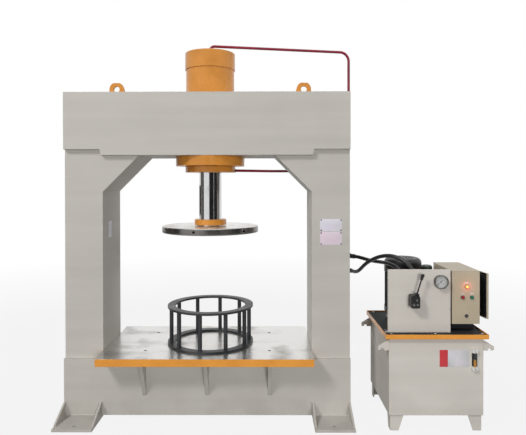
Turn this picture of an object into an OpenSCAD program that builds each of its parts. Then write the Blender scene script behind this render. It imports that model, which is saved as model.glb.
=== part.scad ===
// Hydraulic press with an H frame, a down-stroking ram and its own power unit.
// Millimetres. The origin is on the floor under the ram's axis, in the middle of the four anchor holes.
// +X points to the power unit, -Y to the operator and +Z up.

/* [Frame] */
// Overall width of the frame
frame_w = 2180; // [2000:10:2500]
// Clear width between the two columns
column_gap = 1600; // [1400:10:1700]
// Depth of each column over its front and rear plates
column_d = 480; // [450:10:560]
// Thickness of the column's four plates
column_t = 25; // [16:1:35]
// Thickness of the beam's and the bed's front and rear plates
web_t = 35; // [25:1:50]
// Height of the beam's top face over the floor
frame_h = 2475; // [2450:5:2700]
// Height of the beam's front plate over the columns
beam_h = 435; // [400:5:480]
// How far the middle of the beam hangs below its ends
beam_drop = 45; // [20:1:60]
// Thickness of the beam's top and bottom plates
beam_plate_t = 35; // [25:1:45]
// Reach of the 45 degree knee at the top of each column
knee = 279; // [150:1:320]
// Thickness of the base plate under each column
base_t = 18; // [12:1:30]
// Length of each base plate, front to back
base_d = 1040; // [900:10:1200]
// Diameter of the anchor holes
anchor_d = 22; // [16:1:30]
// Distance from the end of a base plate to its anchor hole
anchor_inset = 60; // [40:1:80]
// Thickness of the foot gussets
gusset_t = 14; // [8:1:20]
// Height of the foot gussets over the base plate
gusset_h = 104; // [60:1:160]
// Thickness of the lifting lugs
lug_t = 25; // [15:1:35]
// Distance of each lifting lug's hole from the middle of the beam
lug_x = 756; // [600:1:850]
// Diameter of the hole in a lifting lug
lug_hole_d = 48; // [30:1:60]

/* [Bed] */
// Height of the bed's top face over the floor
bed_h = 500; // [440:5:600]
// Thickness of the bed plate
bed_t = 55; // [40:1:80]
// Depth of the bed plate, front to back
bed_d = 900; // [760:10:1000]
// Distance between the tooling holes along the bed
tool_hole_x = 950; // [800:10:1100]
// Distance between the tooling holes across the bed
tool_hole_y = 490; // [400:10:600]
// Diameter of the tooling holes
tool_hole_d = 22; // [12:1:30]
// Distance between the bed's ribs
rib_pitch = 476; // [400:1:560]
// Thickness of the bed's ribs
rib_t = 28; // [16:1:40]

/* [Cylinder] */
// Outer diameter of the barrel
barrel_d = 386; // [340:1:440]
// Thickness of the barrel's wall
barrel_wall = 43; // [30:1:60]
// How far the barrel stands above the beam
barrel_rise = 214; // [204:1:300]
// How far the end cap and the rod gland stand out from the barrel
cap_lip = 7; // [3:1:20]
// Height of the end cap
cap_h = 133; // [90:1:180]
// How far the mounting flange stands out from the barrel
flange_rim = 82; // [70:1:100]
// Thickness of the mounting flange
flange_t = 77; // [60:1:90]
// Height of the rod gland below the flange
gland_h = 50; // [40:1:70]

/* [Ram] */
// Diameter of the piston rod
rod_d = 180; // [160:1:200]
// Gap between the rod gland and the rod collar at rest
ram_gap = 376; // [365:1:420]
// Travel of the ram upwards from rest
stroke_up = 355; // [200:5:360]
// Travel of the ram downwards from rest
stroke_down = 245; // [100:5:280]
// Outer diameter of the rod collar
collar_d = 256; // [240:1:300]
// Height of the rod collar
collar_h = 44; // [30:1:60]
// Diameter of the platen
platen_d = 770; // [600:5:900]
// Thickness of the platen
platen_t = 50; // [40:1:80]
// Diameter of the holes in the platen's rim
rim_hole_d = 22; // [12:1:30]

/* [Press cage] */
// Outer diameter of the cage's rings
cage_d = 686; // [560:2:760]
// Radial width of the cage's rings
cage_ring_w = 60; // [40:1:80]
// Thickness of the cage's rings
cage_ring_t = 16; // [10:1:24]
// Height of the cage
cage_h = 305; // [200:5:400]
// Diameter of the cage's bars
cage_bar_d = 32; // [20:1:38]
// Number of bars
cage_bars = 10; // [6:1:14]

/* [Piping] */
// Outer diameter of the steel pipes
pipe_d = 22; // [16:1:28]
// Bend radius of the steel pipes
pipe_bend_r = 75; // [60:1:100]
// Distance of the down pipes from the column's outer face
pipe_gap = 62; // [40:1:80]
// Outer diameter of the hoses
hose_d = 30; // [24:1:34]

/* [Power unit] */
// Gap between the right column and the tray
unit_gap = 213; // [150:1:260]
// Width of the tray
tray_w = 732; // [720:2:800]
// Depth of the tray
tray_d = 730; // [700:2:800]
// Height of the tray's rim over the floor
tray_h = 700; // [640:2:760]
// Height of the tray's rim
rim_h = 32; // [24:1:45]
// Overhang of the tray over the tank
tray_lip = 29; // [20:1:34]
// Height of the tank's legs
leg_h = 113; // [80:1:150]
// Thickness of the tank's walls
tank_t = 5; // [3:1:8]
// Width of the front panel
panel_w = 454; // [440:2:458]
// Height of the front panel
panel_h = 460; // [430:2:520]
// Thickness of the front panel's sheet
panel_t = 3; // [2:1:5]
// Outer diameter of the motor
motor_d = 290; // [250:2:296]
// Height of the motor with its cowl
motor_h = 406; // [380:2:460]
// Diameter of the motor's shaft
shaft_d = 38; // [28:1:42]
// Diameter of the pressure gauge
gauge_d = 100; // [80:1:120]
// Width of the hand valve's cap
valve_w = 64; // [60:1:100]
// Height of the hand valve's cap
valve_h = 90; // [84:1:120]
// Length of the valve lever
lever_l = 132; // [110:1:200]
// Lean of the valve lever to the right, in degrees
lever_lean = 17; // [0:1:25]

/* [Electric box] */
// Width of the electric box
box_w = 202; // [190:1:215]
// Depth of the electric box
box_d = 430; // [380:2:480]
// Height of the electric box
box_h = 388; // [360:2:440]
// Thickness of the electric box's sheet
box_t = 3; // [2:1:4]
// Diameter of the push buttons
button_d = 22; // [18:1:26]
// Travel of the push buttons
button_travel = 4; // [2:0.5:5]
// How far the door stands open, in degrees
door_ajar = 7; // [0:1:20]

/* [Hidden] */
$fn = 64;

// Clearances: a running fit, a loose hole and the gap between neighbours that only lie side by side
running = 0.05;
loose = 0.5;
apart = 0.3;

// Frame levels and faces
column_in = column_gap / 2;
column_out = frame_w / 2;
column_face = column_d / 2;
web_face = column_face + web_t;
bed_under = bed_h - bed_t;
beam_low = frame_h - beam_h;
beam_under = beam_low - beam_drop;
beam_top_under = frame_h - beam_plate_t;
knee_low = beam_under - knee;
step_run = 10;
bed_side_gap = 1;
base_hole_y = base_d / 2 - anchor_inset;
base_hole_x = (column_in + column_out) / 2;
gusset_tip_h = 12;
gusset_end = 45;
rib_low = 170;
rib_end = 50;
rib_nose = 13;
cross_rib_low = 100;
lug_r = 58;
lug_hole_rise = 64;
lug_hole_z = frame_h + lug_hole_rise;
lug_foot = 80;

// Cylinder and ram sizes and levels
bore_d = barrel_d - 2 * barrel_wall;
cap_d = barrel_d + 2 * cap_lip;
gland_d = cap_d;
flange_d = barrel_d + 2 * flange_rim;
barrel_top = frame_h + barrel_rise;
cap_top = barrel_top + cap_h;
flange_low = beam_under - flange_t;
gland_low = flange_low - gland_h;
spigot_h = 42;
stroke_spare = 5;
chamber_low = flange_low + spigot_h;
piston_low = chamber_low + stroke_spare + stroke_down;
piston_h = barrel_top - chamber_low - stroke_up - stroke_down - 2 * stroke_spare;
seal_w = 14;
seal_deep = 10;
rod_tail_d = 120;
rod_tail_h = piston_h - 20;
collar_top = gland_low - ram_gap;
collar_low = collar_top - collar_h;
neck_h = 8;
neck_d = rod_d + 5;
platen_top = collar_low - neck_h;
platen_low = platen_top - platen_t;
rod_seat = 12;
rim_holes = 6;
rim_hole_deep = 60;
rim_hole_turn = -13;
edge_chamfer = 4;
flange_screws = 6;
flange_screw_d = 24;
flange_screw_r = gland_d / 2 + flange_screw_d + 1;
gland_screws = 8;
gland_screw_d = 20;
gland_screw_r = (bore_d + barrel_d) / 4;
screw_grip = 30;
port_d = 16;
rod_seal_zs = [gland_low + 14, flange_low + 8];
piston_seal_zs = [piston_low + 24, piston_low + piston_h - 24 - seal_w];
gland_port_d = 30;
gland_port_deep = gland_d / 2 - 14;
gland_port_gap = 2;

// Pipes and hoses
pipe_x = column_out + pipe_gap;
pipe_y = 220;
upper_pipe_turn = atan2(pipe_y, pipe_x);
upper_pipe_run = norm([pipe_x, pipe_y]);
upper_pipe_z = cap_top + 66;
elbow_r = 36;
fitting_h = 24;
fitting_d = 36;
lower_pipe_z = gland_low + gland_h / 2 - 7;
lower_pipe_y = web_face + 40;
lower_pipe_turn = 32;
pipe_t = 2.5;
pipe_seat = 12;
upper_hose_z = 1163;
lower_hose_z = 1029;
hose_elbow = 60;
ferrule_d = 38;
nose_d = 26;
nose_l = 24;
upper_hose_turn = -40;
lower_hose_turn = -60;
hose_port_z = 1030;
hose_port_y = -343;
manifold_top = hose_port_z - 30;
upper_port_x = 1485;
lower_port_x = 1558;
upper_hose_route = [
    [1198, 181, 1163], [1222, 161, 1161], [1252, 131, 1156], [1282, 97, 1150], [1311, 58, 1146],
    [1338, 12, 1146], [1362, -40, 1149], [1383, -95, 1152], [1402, -148, 1153], [1421, -197, 1149],
    [1440, -240, 1139], [1457, -278, 1120], [1471, -309, 1094], [1481, -332, 1063], [1485, -343, 1030]
];
lower_hose_route = [
    [1182, 263, 1029], [1196, 238, 1028], [1209, 208, 1030], [1222, 172, 1041], [1235, 134, 1062],
    [1250, 95, 1091], [1268, 50, 1122], [1288, 2, 1149], [1310, -46, 1173], [1333, -92, 1193],
    [1358, -138, 1208], [1389, -183, 1218], [1425, -225, 1219], [1468, -264, 1206], [1508, -299, 1177],
    [1538, -325, 1134], [1554, -339, 1082], [1558, -343, 1030]
];

// Power unit: its front left corner and the levels on it
unit_x = column_out + unit_gap;
unit_y = -520;
tray_t = 10;
rim_t = 4;
rim_under = tray_h - rim_h;
rim_above = 10;
tray_floor = tray_h - rim_above;
tank_top = tray_floor - tray_t;
tank_w = tray_w - 2 * tray_lip;
tank_d = tray_d - 2 * tray_lip;
tank_x = unit_x + tray_lip;
tank_y = unit_y + tray_lip;
leg_top_w = 97;
leg_foot_w = 60;
leg_t = 6;
leg_inset = 10;
sling_inset = 6;
sling_reach = 79;
sling_t = 10;
sling_z = rim_under - 12;
sling_h = 79;
panel_in = 37;
panel_back = 95;
panel_x = unit_x + panel_in;
panel_y = unit_y + panel_back;
panel_flange = 25;
panel_foot = 22;
motor_in = 242;
motor_back = 480;
motor_x = unit_x + motor_in;
motor_y = unit_y + motor_back;
bell_h = 90;
bell_d = 200;
bell_t = 18;
motor_low = tray_floor + bell_h;
motor_top = motor_low + motor_h;
cowl_h = 110;
cowl_t = 3;
cowl_seat = 20;
cowl_roll = 40;
grille_rs = [30, 52, 74];
grille_w = 9;
terminal_w = 110;
terminal_out = 42;
terminal_turn = 30;
motor_flange_t = 20;
fin_h = 12;
fin_t = 5;
fin_root = 4;
fins = 28;
fan_d = motor_d - 60;
fan_low = motor_top - cowl_h + 22;
fan_h = 36;
fan_blades = 8;
pump_floor = 50;
pump_d = 140;
pump_h = 150;
filter_in = 450;
filter_back = 540;
filter_x = unit_x + filter_in;
filter_y = unit_y + filter_back;
filter_head_h = 50;
filter_foot_d = 125;
filter_foot_h = 14;
filter_d = 80;
filter_h = 425;
valve_in = 216;
valve_up = 238;
valve_x = unit_x + valve_in;
valve_z = tray_floor + valve_up;
valve_corner = 12;
valve_lap = 7;
body_w = valve_w - 2 * valve_lap;
body_h = valve_h - 2 * valve_lap;
body_deep = 170;
lever_z = valve_z + valve_h / 2 + 3;
lever_off = 13;
lever_x = valve_x + lever_off;
lever_eye_d = 22;
lever_eye_w = 15;
lever_pin_d = 8;
lever_root_d = 13;
lever_tip_d = 10;
ear_t = 6;
knob_l = 48;
knob_seat = 22;
knob_r = 13;
lever_tilt = 15;
lever_reach = lever_l - knob_seat + knob_l;
lever_y = panel_y - lever_reach * sin(lever_tilt) - knob_r - 3;
valve_deep = panel_y - lever_y + lever_eye_d;
gauge_in = 417;
gauge_up = 373;
gauge_x = unit_x + gauge_in;
gauge_z = tray_floor + gauge_up;
gauge_deep = 36;
gauge_rim = 6;
gauge_boss_d = 22;
gauge_boss_l = 40;
gauge_dial_z = 10;
gauge_lens_t = 3;
gauge_lens_z = gauge_deep - 9;
needle_z = gauge_dial_z + 6;
needle_pin_d = 4;
needle_t = 1.5;
needle_hub_d = 10;
needle_zero = 225;
level_in = 637;
level_x = unit_x + level_in;
level_w = 45;
level_h = 153;
level_z = 516;

// Electric box
box_in = 505;
box_back = 105;
box_up = 50;
box_x = unit_x + box_in;
box_y = unit_y + box_back;
box_z = tray_h + box_up;
box_lip = 16;
box_foot_w = 30;
door_h = 333;
door_z = box_z + 34;
door_gap = 2;
door_deep = 16;
door_t = 2;
hinge_d = 10;
hinge_pin_d = 5;
hinge_len = 30;
hinge_out = door_gap + door_deep / 2;
hinge_x = box_x + box_w + hinge_out;
hinge_y = box_y + box_d;
door_edge = 7;
hinge_zs = [door_z + 70, door_z + door_h - 70];
collar_ring_d = button_d + 8;
collar_ring_h = 6;
sleeve_d = button_d - 4;
sleeve_out = button_d + 3;
sleeve_l = 25;
lamp_h = 9;
button_proud = 6;
lamp_in = 108;
lamp_up = 273;
stop_in = 78;
start_in = 145;
button_up = 194;
cable_in = 106;
cable_up = 58;
lamp_x = box_x + lamp_in;
lamp_z = box_z + lamp_up;
stop_x = box_x + stop_in;
start_x = box_x + start_in;
button_z = box_z + button_up;
cable_hole_x = box_x + cable_in;
cable_hole_z = box_z + cable_up;
cable_hole_d = 20;

// Colours
paint_grey = [0.71, 0.69, 0.66];
orange = [0.85, 0.53, 0.16];
steel = [0.62, 0.62, 0.62];
chrome = [0.8, 0.8, 0.82];
black = [0.08, 0.08, 0.085];
crimson = [0.42, 0.05, 0.09];
beige = [0.66, 0.62, 0.53];

// A flat shape drawn in X and Z, cut from a plate that lies between two Y faces
module plate_y(y_low, y_high) {
    translate([0, y_high, 0]) rotate([90, 0, 0]) linear_extrude(y_high - y_low) children();
}

// A flat shape drawn in Y and Z, cut from a plate that lies between two X faces
module plate_x(x_low, x_high) {
    translate([x_low, 0, 0]) rotate([90, 0, 90]) linear_extrude(x_high - x_low) children();
}

// A block between two opposite corners
module block(low, high) {
    translate(low) cube(high - low);
}

// The same piece on the left
module on_left() {
    mirror([1, 0, 0]) children();
}

// The piece and its twin on the other side of the frame's middle plane
module both_sides() {
    children();
    mirror([1, 0, 0]) children();
}

// The piece at the front and its twin at the rear
module front_and_rear() {
    children();
    mirror([0, 1, 0]) children();
}

// A ring of given outer and inner diameter, standing on z
module ring(outer, inner, z, h) {
    rotate_extrude() translate([inner / 2, z]) square([(outer - inner) / 2, h]);
}

// A drilled hole along Z
module drill(d, z, h) {
    translate([0, 0, z]) cylinder(d = d, h = h);
}

// Frame

module base_plate_right() {
    color(paint_grey) difference() {
        block([column_in, -base_d / 2, 0], [column_out, base_d / 2, base_t]);
        for (side = [-1, 1])
            translate([base_hole_x, side * base_hole_y, 0]) drill(anchor_d, -1, base_t + 2);
    }
}

module base_plate_left() {
    on_left() base_plate_right();
}

module foot_gusset() {
    tip = base_d / 2 - gusset_end;
    polygon([
        [-web_face, base_t], [-tip, base_t], [-tip, base_t + gusset_tip_h], [-web_face, base_t + gusset_h]
    ]);
}

module foot_gussets() {
    color(paint_grey) both_sides() front_and_rear() {
        plate_x(column_in, column_in + gusset_t) foot_gusset();
        plate_x(column_out - gusset_t, column_out) foot_gusset();
    }
}

// Front view of a column with its knee
module column_outline() {
    polygon([
        [column_in, base_t], [column_out, base_t], [column_out, beam_top_under], [column_in, beam_top_under],
        [column_in, beam_under], [column_in - knee, beam_under], [column_in, knee_low]
    ]);
}

module column_front_right() {
    color(paint_grey) plate_y(-column_face, column_t - column_face) column_outline();
}

module column_rear_right() {
    color(paint_grey) plate_y(column_face - column_t, column_face) column_outline();
}

module column_outer_right() {
    side = column_face - column_t;
    color(paint_grey) block([column_out - column_t, -side, base_t], [column_out, side, beam_top_under]);
}

// The inner plate follows the column, then folds out along the knee to the beam
module column_inner_right() {
    side = column_face - column_t;
    slant = column_t * sqrt(2);
    color(paint_grey) plate_y(-side, side) polygon([
        [column_in, base_t], [column_in + column_t, base_t],
        [column_in + column_t, knee_low + slant - column_t], [column_in - knee + slant, beam_under],
        [column_in - knee, beam_under], [column_in, knee_low]
    ]);
}

module column_front_left() {
    on_left() column_front_right();
}

module column_rear_left() {
    on_left() column_rear_right();
}

module column_outer_left() {
    on_left() column_outer_right();
}

module column_inner_left() {
    on_left() column_inner_right();
}

// The beam's front view: the middle hangs lower than the ends, with a sloping step between them
module beam_outline() {
    half = [
        [column_out, frame_h], [column_out, beam_low], [column_in + step_run + 6, beam_low],
        [column_in + 6, beam_under]
    ];
    left = [for (i = [len(half) - 1 : -1 : 0]) [-half[i][0], half[i][1]]];
    polygon(concat(half, left));
}

module beam_front_plate() {
    color(paint_grey) plate_y(-web_face, -column_face) beam_outline();
}

module beam_rear_plate() {
    color(paint_grey) plate_y(column_face, web_face) beam_outline();
}

module beam_bottom_plate() {
    color(paint_grey) difference() {
        block([-column_in, -column_face, beam_under], [column_in, column_face, beam_under + beam_plate_t]);
        drill(barrel_d + 2 * loose, beam_under - 1, beam_plate_t + 2);
        flange_screw_places() drill(flange_screw_d + 2 * running, beam_under - 1, screw_grip + 1);
    }
}

module beam_top_plate() {
    color(paint_grey) difference() {
        block([-column_out, -column_face, beam_top_under], [column_out, column_face, frame_h]);
        drill(barrel_d + 2 * loose, beam_top_under - 1, beam_plate_t + 2);
    }
}

// A lifting lug: an eye, steep on its outer side, with a straight slope down its inner side
module lifting_lug() {
    foot = [lug_x - lug_foot, frame_h];
    eye = [lug_x, lug_hole_z];
    reach = norm(eye - foot);
    slope = atan2(eye[1] - foot[1], eye[0] - foot[0]) + asin(lug_r / reach);
    touch = foot + sqrt(reach * reach - lug_r * lug_r) * [cos(slope), sin(slope)];
    difference() {
        union() {
            translate(eye) intersection() {
                circle(r = lug_r);
                translate([-lug_r, frame_h - lug_hole_z]) square(2 * lug_r);
            }
            polygon([foot, [lug_x + lug_r, frame_h], [lug_x + lug_r, lug_hole_z], eye, touch]);
        }
        translate(eye) circle(d = lug_hole_d);
    }
}

module lifting_lugs() {
    color(orange) both_sides() plate_y(-lug_t / 2, lug_t / 2) lifting_lug();
}

module lower_front_plate() {
    color(paint_grey) block([-column_out, -web_face, base_t], [column_out, -column_face, bed_under]);
}

module lower_rear_plate() {
    color(paint_grey) block([-column_out, column_face, base_t], [column_out, web_face, bed_under]);
}

module bed_plate() {
    half = column_in - bed_side_gap;
    color(steel) difference() {
        block([-half, -bed_d / 2, bed_under], [half, bed_d / 2, bed_h]);
        for (x = [-1, 1], y = [-1, 1])
            translate([x * tool_hole_x / 2, y * tool_hole_y / 2, 0])
                drill(tool_hole_d, bed_under - 1, bed_t + 2);
    }
}

module bed_rib() {
    nose = bed_d / 2 - rib_end;
    polygon([
        [-web_face, bed_under], [-nose, bed_under], [-nose, bed_under - rib_nose], [-web_face, rib_low]
    ]);
}

module bed_ribs() {
    color(paint_grey) for (x = [-rib_pitch, 0, rib_pitch]) {
        front_and_rear() plate_x(x - rib_t / 2, x + rib_t / 2) bed_rib();
        block([x - rib_t / 2, -column_face, cross_rib_low], [x + rib_t / 2, column_face, bed_under]);
    }
}

// Cylinder

module flange_screw_places() {
    for (i = [0 : flange_screws - 1])
        rotate([0, 0, i * 360 / flange_screws]) translate([flange_screw_r, 0, 0]) children();
}

module gland_screw_places() {
    for (i = [0 : gland_screws - 1])
        rotate([0, 0, i * 360 / gland_screws]) translate([gland_screw_r, 0, 0]) children();
}

// A cap screw that points up, its head's lower face on z = 0
module cap_screw(d, l) {
    difference() {
        union() {
            cylinder(d = 1.5 * d, h = d);
            cylinder(d = d, h = l);
        }
        translate([0, 0, -1]) cylinder(d = 0.95 * d, h = d / 2 + 1, $fn = 6);
    }
}

// The counterbored hole for such a screw
module screw_hole(d, l) {
    translate([0, 0, -1]) cylinder(d = 1.5 * d + 2 * loose, h = d + 1);
    cylinder(d = d + 2 * running, h = l);
}

module cylinder_barrel() {
    color(orange) difference() {
        ring(barrel_d, bore_d, flange_low, barrel_top - flange_low);
        gland_screw_places() drill(gland_screw_d + 2 * running, flange_low - 1, screw_grip + 1);
    }
}

module cylinder_end_cap() {
    color(orange) difference() {
        rotate_extrude() polygon([
            [0, barrel_top], [cap_d / 2, barrel_top], [cap_d / 2, cap_top - edge_chamfer],
            [cap_d / 2 - edge_chamfer, cap_top], [0, cap_top]
        ]);
        drill(port_d, barrel_top - 1, cap_h + 2);
    }
}

module cylinder_flange() {
    color(orange) difference() {
        ring(flange_d, barrel_d + 2 * running, flange_low, flange_t);
        translate([0, 0, flange_low]) flange_screw_places() screw_hole(flange_screw_d, flange_t + 1);
    }
}

// The gland closes the barrel's foot, guides the rod and takes the lower oil port
module rod_gland() {
    color(orange) difference() {
        union() {
            ring(gland_d, rod_d + 2 * running, gland_low, gland_h);
            ring(bore_d - 2 * running, rod_d + 2 * running, flange_low, spigot_h);
        }
        for (z = rod_seal_zs) ring(rod_d + 2 * seal_deep, rod_d, z, seal_w);
        translate([0, 0, gland_low]) gland_screw_places() screw_hole(gland_screw_d, gland_h + 1);
        gland_port(gland_port_d, gland_port_deep, gland_d);
    }
}

// A hole or plug along the gland's oil port
module gland_port(d, r_low, r_high) {
    rotate([0, 0, lower_pipe_turn]) translate([r_low, 0, lower_pipe_z]) rotate([0, 90, 0])
        cylinder(d = d, h = r_high - r_low);
}

module cylinder_screws() {
    color(black) {
        translate([0, 0, flange_low]) flange_screw_places() cap_screw(flange_screw_d, flange_t + screw_grip);
        translate([0, 0, gland_low]) gland_screw_places() cap_screw(gland_screw_d, gland_h + screw_grip);
    }
}

module rod_seals() {
    color(black) for (z = rod_seal_zs) ring(rod_d + 2 * seal_deep, rod_d + 2 * running, z, seal_w);
}

// Ram

module piston() {
    color(steel) rotate_extrude() difference() {
        translate([0, piston_low]) square([bore_d / 2 - running, piston_h]);
        translate([0, piston_low - 1]) square([rod_tail_d / 2, rod_tail_h + 1]);
        for (z = piston_seal_zs) translate([bore_d / 2 - seal_deep, z]) square([seal_deep, seal_w]);
    }
}

module piston_seals() {
    color(black) for (z = piston_seal_zs) ring(bore_d - 2 * running, bore_d - 2 * seal_deep, z, seal_w);
}

// The rod: a tail in the piston, the long chrome shaft, a shoulder for the collar and a foot in the platen
module piston_rod() {
    color(chrome) rotate_extrude() polygon([
        [0, platen_top - rod_seat], [rod_d / 2, platen_top - rod_seat], [rod_d / 2, platen_top],
        [neck_d / 2, platen_top], [neck_d / 2, collar_low], [rod_d / 2, collar_low], [rod_d / 2, piston_low],
        [rod_tail_d / 2 - running, piston_low], [rod_tail_d / 2 - running, piston_low + rod_tail_h],
        [0, piston_low + rod_tail_h]
    ]);
}

module rod_collar() {
    color(orange) rotate_extrude() polygon([
        [rod_d / 2 + running, collar_low], [collar_d / 2, collar_low],
        [collar_d / 2, collar_top - edge_chamfer], [collar_d / 2 - edge_chamfer, collar_top],
        [rod_d / 2 + running, collar_top]
    ]);
}

module platen() {
    color(steel) difference() {
        rotate_extrude() polygon([
            [0, platen_low], [platen_d / 2 - edge_chamfer, platen_low],
            [platen_d / 2, platen_low + edge_chamfer], [platen_d / 2, platen_top - edge_chamfer],
            [platen_d / 2 - edge_chamfer, platen_top], [0, platen_top]
        ]);
        drill(rod_d + 2 * running, platen_top - rod_seat, rod_seat + 1);
        for (i = [0 : rim_holes - 1])
            rotate([0, 0, rim_hole_turn + i * 360 / rim_holes - 90])
                translate([platen_d / 2 - rim_hole_deep, 0, (platen_low + platen_top) / 2])
                    rotate([0, 90, 0]) cylinder(d = rim_hole_d, h = rim_hole_deep + 1);
    }
}

// Pipes, fittings and hoses

module pipe_section() {
    difference() {
        circle(d = pipe_d);
        circle(d = pipe_d - 2 * pipe_t);
    }
}

// A straight length of pipe from the local origin along +Z
module pipe_straight(l) {
    linear_extrude(l) pipe_section();
}

// A bend about the local Z axis, from one angle through another
module pipe_bend(from, through, r) {
    rotate([0, 0, from]) rotate_extrude(angle = through) translate([r, 0]) pipe_section();
}

// From the end cap up, across the beam's right half and down outside the column
module upper_pipe() {
    rise = cap_top + fitting_h - pipe_seat;
    color(crimson) rotate([0, 0, upper_pipe_turn]) {
        translate([0, 0, rise]) pipe_straight(upper_pipe_z - elbow_r - rise);
        translate([elbow_r, 0, upper_pipe_z - elbow_r]) rotate([90, 0, 0]) pipe_bend(90, 90, elbow_r);
        translate([elbow_r, 0, upper_pipe_z]) rotate([0, 90, 0])
            pipe_straight(upper_pipe_run - elbow_r - pipe_bend_r);
        translate([upper_pipe_run - pipe_bend_r, 0, upper_pipe_z - pipe_bend_r]) rotate([90, 0, 0])
            pipe_bend(0, 90, pipe_bend_r);
        translate([upper_pipe_run, 0, upper_hose_z + fitting_h - pipe_seat])
            pipe_straight(upper_pipe_z - pipe_bend_r - upper_hose_z - fitting_h + pipe_seat);
    }
}

// From the gland out to the rear, along the back of the right column and down beside the upper pipe
module lower_pipe() {
    start_r = gland_d / 2 + gland_port_gap + fitting_h - pipe_seat;
    corner_x = lower_pipe_y / tan(lower_pipe_turn);
    corner_r = lower_pipe_y / sin(lower_pipe_turn);
    trim = pipe_bend_r * tan(lower_pipe_turn / 2);
    color(crimson) {
        rotate([0, 0, lower_pipe_turn]) translate([start_r, 0, lower_pipe_z]) rotate([0, 90, 0])
            pipe_straight(corner_r - trim - start_r);
        translate([corner_x + trim, lower_pipe_y - pipe_bend_r, lower_pipe_z])
            pipe_bend(90, lower_pipe_turn, pipe_bend_r);
        translate([corner_x + trim, lower_pipe_y, lower_pipe_z]) rotate([0, 90, 0])
            pipe_straight(pipe_x - pipe_bend_r - corner_x - trim);
        translate([pipe_x - pipe_bend_r, lower_pipe_y, lower_pipe_z - pipe_bend_r]) rotate([90, 0, 0])
            pipe_bend(0, 90, pipe_bend_r);
        translate([pipe_x, lower_pipe_y, lower_hose_z + fitting_h - pipe_seat])
            pipe_straight(lower_pipe_z - pipe_bend_r - lower_hose_z - fitting_h + pipe_seat);
    }
}

// A nut on the local origin, open at its far end for the pipe
module pipe_nut() {
    difference() {
        cylinder(d = fitting_d, h = fitting_h);
        translate([0, 0, fitting_h - pipe_seat]) cylinder(d = pipe_d + 2 * running, h = pipe_seat + 1);
        translate([0, 0, -1]) cylinder(d = port_d, h = fitting_h + 2);
    }
}

// The elbow that joins a down pipe to its hose: a round body, a side nose and the hose's ferrule
module hose_elbow_fitting(turn) {
    difference() {
        union() {
            translate([0, 0, -fitting_d / 2]) cylinder(d = fitting_d, h = fitting_d / 2 + fitting_h);
            rotate([0, 0, turn]) rotate([0, 90, 0]) {
                cylinder(d = nose_d, h = hose_elbow - 1);
                translate([0, 0, nose_l]) cylinder(d = ferrule_d, h = hose_elbow - nose_l);
            }
        }
        translate([0, 0, fitting_h - pipe_seat]) cylinder(d = pipe_d + 2 * running, h = pipe_seat + 1);
    }
}

module pipe_fittings() {
    color(black) {
        translate([0, 0, cap_top]) pipe_nut();
        rotate([0, 0, lower_pipe_turn]) translate([gland_d / 2 + gland_port_gap, 0, lower_pipe_z])
            rotate([0, 90, 0]) pipe_nut();
        difference() {
            gland_port(gland_port_d - 2 * running, gland_port_deep, gland_d / 2 + gland_port_gap);
            gland_port(port_d, gland_port_deep - 1, gland_d);
        }
        translate([pipe_x, pipe_y, upper_hose_z]) hose_elbow_fitting(upper_hose_turn);
        translate([pipe_x, lower_pipe_y, lower_hose_z]) hose_elbow_fitting(lower_hose_turn);
        for (x = [upper_port_x, lower_port_x])
            translate([x, hose_port_y, manifold_top]) cylinder(d = ferrule_d, h = hose_port_z - manifold_top);
    }
}

// A tube swept along a route, with its two end faces square to given directions
hose_sides = 10;
hose_across = [0.94, 0.35, 0];

function unit(v) = v / norm(v);

function heading(route, i, first, last) =
    i == 0 ? first : i == len(route) - 1 ? last : unit(route[i + 1] - route[i - 1]);

function hose_ring(centre, along) =
    let (side = unit(hose_across - (hose_across * along) * along), up = cross(along, side))
    [for (k = [0 : hose_sides - 1])
        let (a = k * 360 / hose_sides) centre + hose_d / 2 * (cos(a) * side + sin(a) * up)];

module hose(route, first, last) {
    n = len(route);
    rings = [for (i = [0 : n - 1]) each hose_ring(route[i], heading(route, i, first, last))];
    walls = [for (i = [0 : n - 2], k = [0 : hose_sides - 1])
        let (a = i * hose_sides + k, b = i * hose_sides + (k + 1) % hose_sides)
        each [[a, a + hose_sides, b], [b, a + hose_sides, b + hose_sides]]];
    front = [for (k = [0 : hose_sides - 1]) k];
    back = [for (k = [hose_sides - 1 : -1 : 0]) (n - 1) * hose_sides + k];
    polyhedron(concat(rings), concat(walls, [front], [back]));
}

module upper_hose() {
    color(black) hose(upper_hose_route, [cos(upper_hose_turn), sin(upper_hose_turn), 0], [0, 0, -1]);
}

module lower_hose() {
    color(black) hose(lower_hose_route, [cos(lower_hose_turn), sin(lower_hose_turn), 0], [0, 0, -1]);
}

// The loose tool that stands on the bed: two rings joined by round bars
module press_cage() {
    bar_r = (cage_d - cage_ring_w) / 2;
    color(black) translate([0, 0, bed_h]) {
        for (z = [0, cage_h - cage_ring_t]) ring(cage_d, cage_d - 2 * cage_ring_w, z, cage_ring_t);
        for (i = [0 : cage_bars - 1])
            rotate([0, 0, (i + 0.25) * 360 / cage_bars]) translate([bar_r, 0, 0])
                cylinder(d = cage_bar_d, h = cage_h);
    }
}

// Power unit

// One leg of the tank: a folded angle, straight on its outer edges and slanted on its inner ones
module tank_leg() {
    outline = [[0, 0], [leg_foot_w, 0], [leg_top_w, leg_h], [0, leg_h]];
    plate_y(0, leg_t) polygon(outline);
    plate_x(0, leg_t) polygon(outline);
}

// A sling hook on the tank's side, drawn from the wall outwards
module sling_hook() {
    polygon([
        [0, 0], [sling_reach - 42, 0], [sling_reach - 42, 15], [sling_reach - 20, 15], [sling_reach - 20, 0],
        [sling_reach, 4], [sling_reach, 30], [0, sling_h]
    ]);
}

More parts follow.
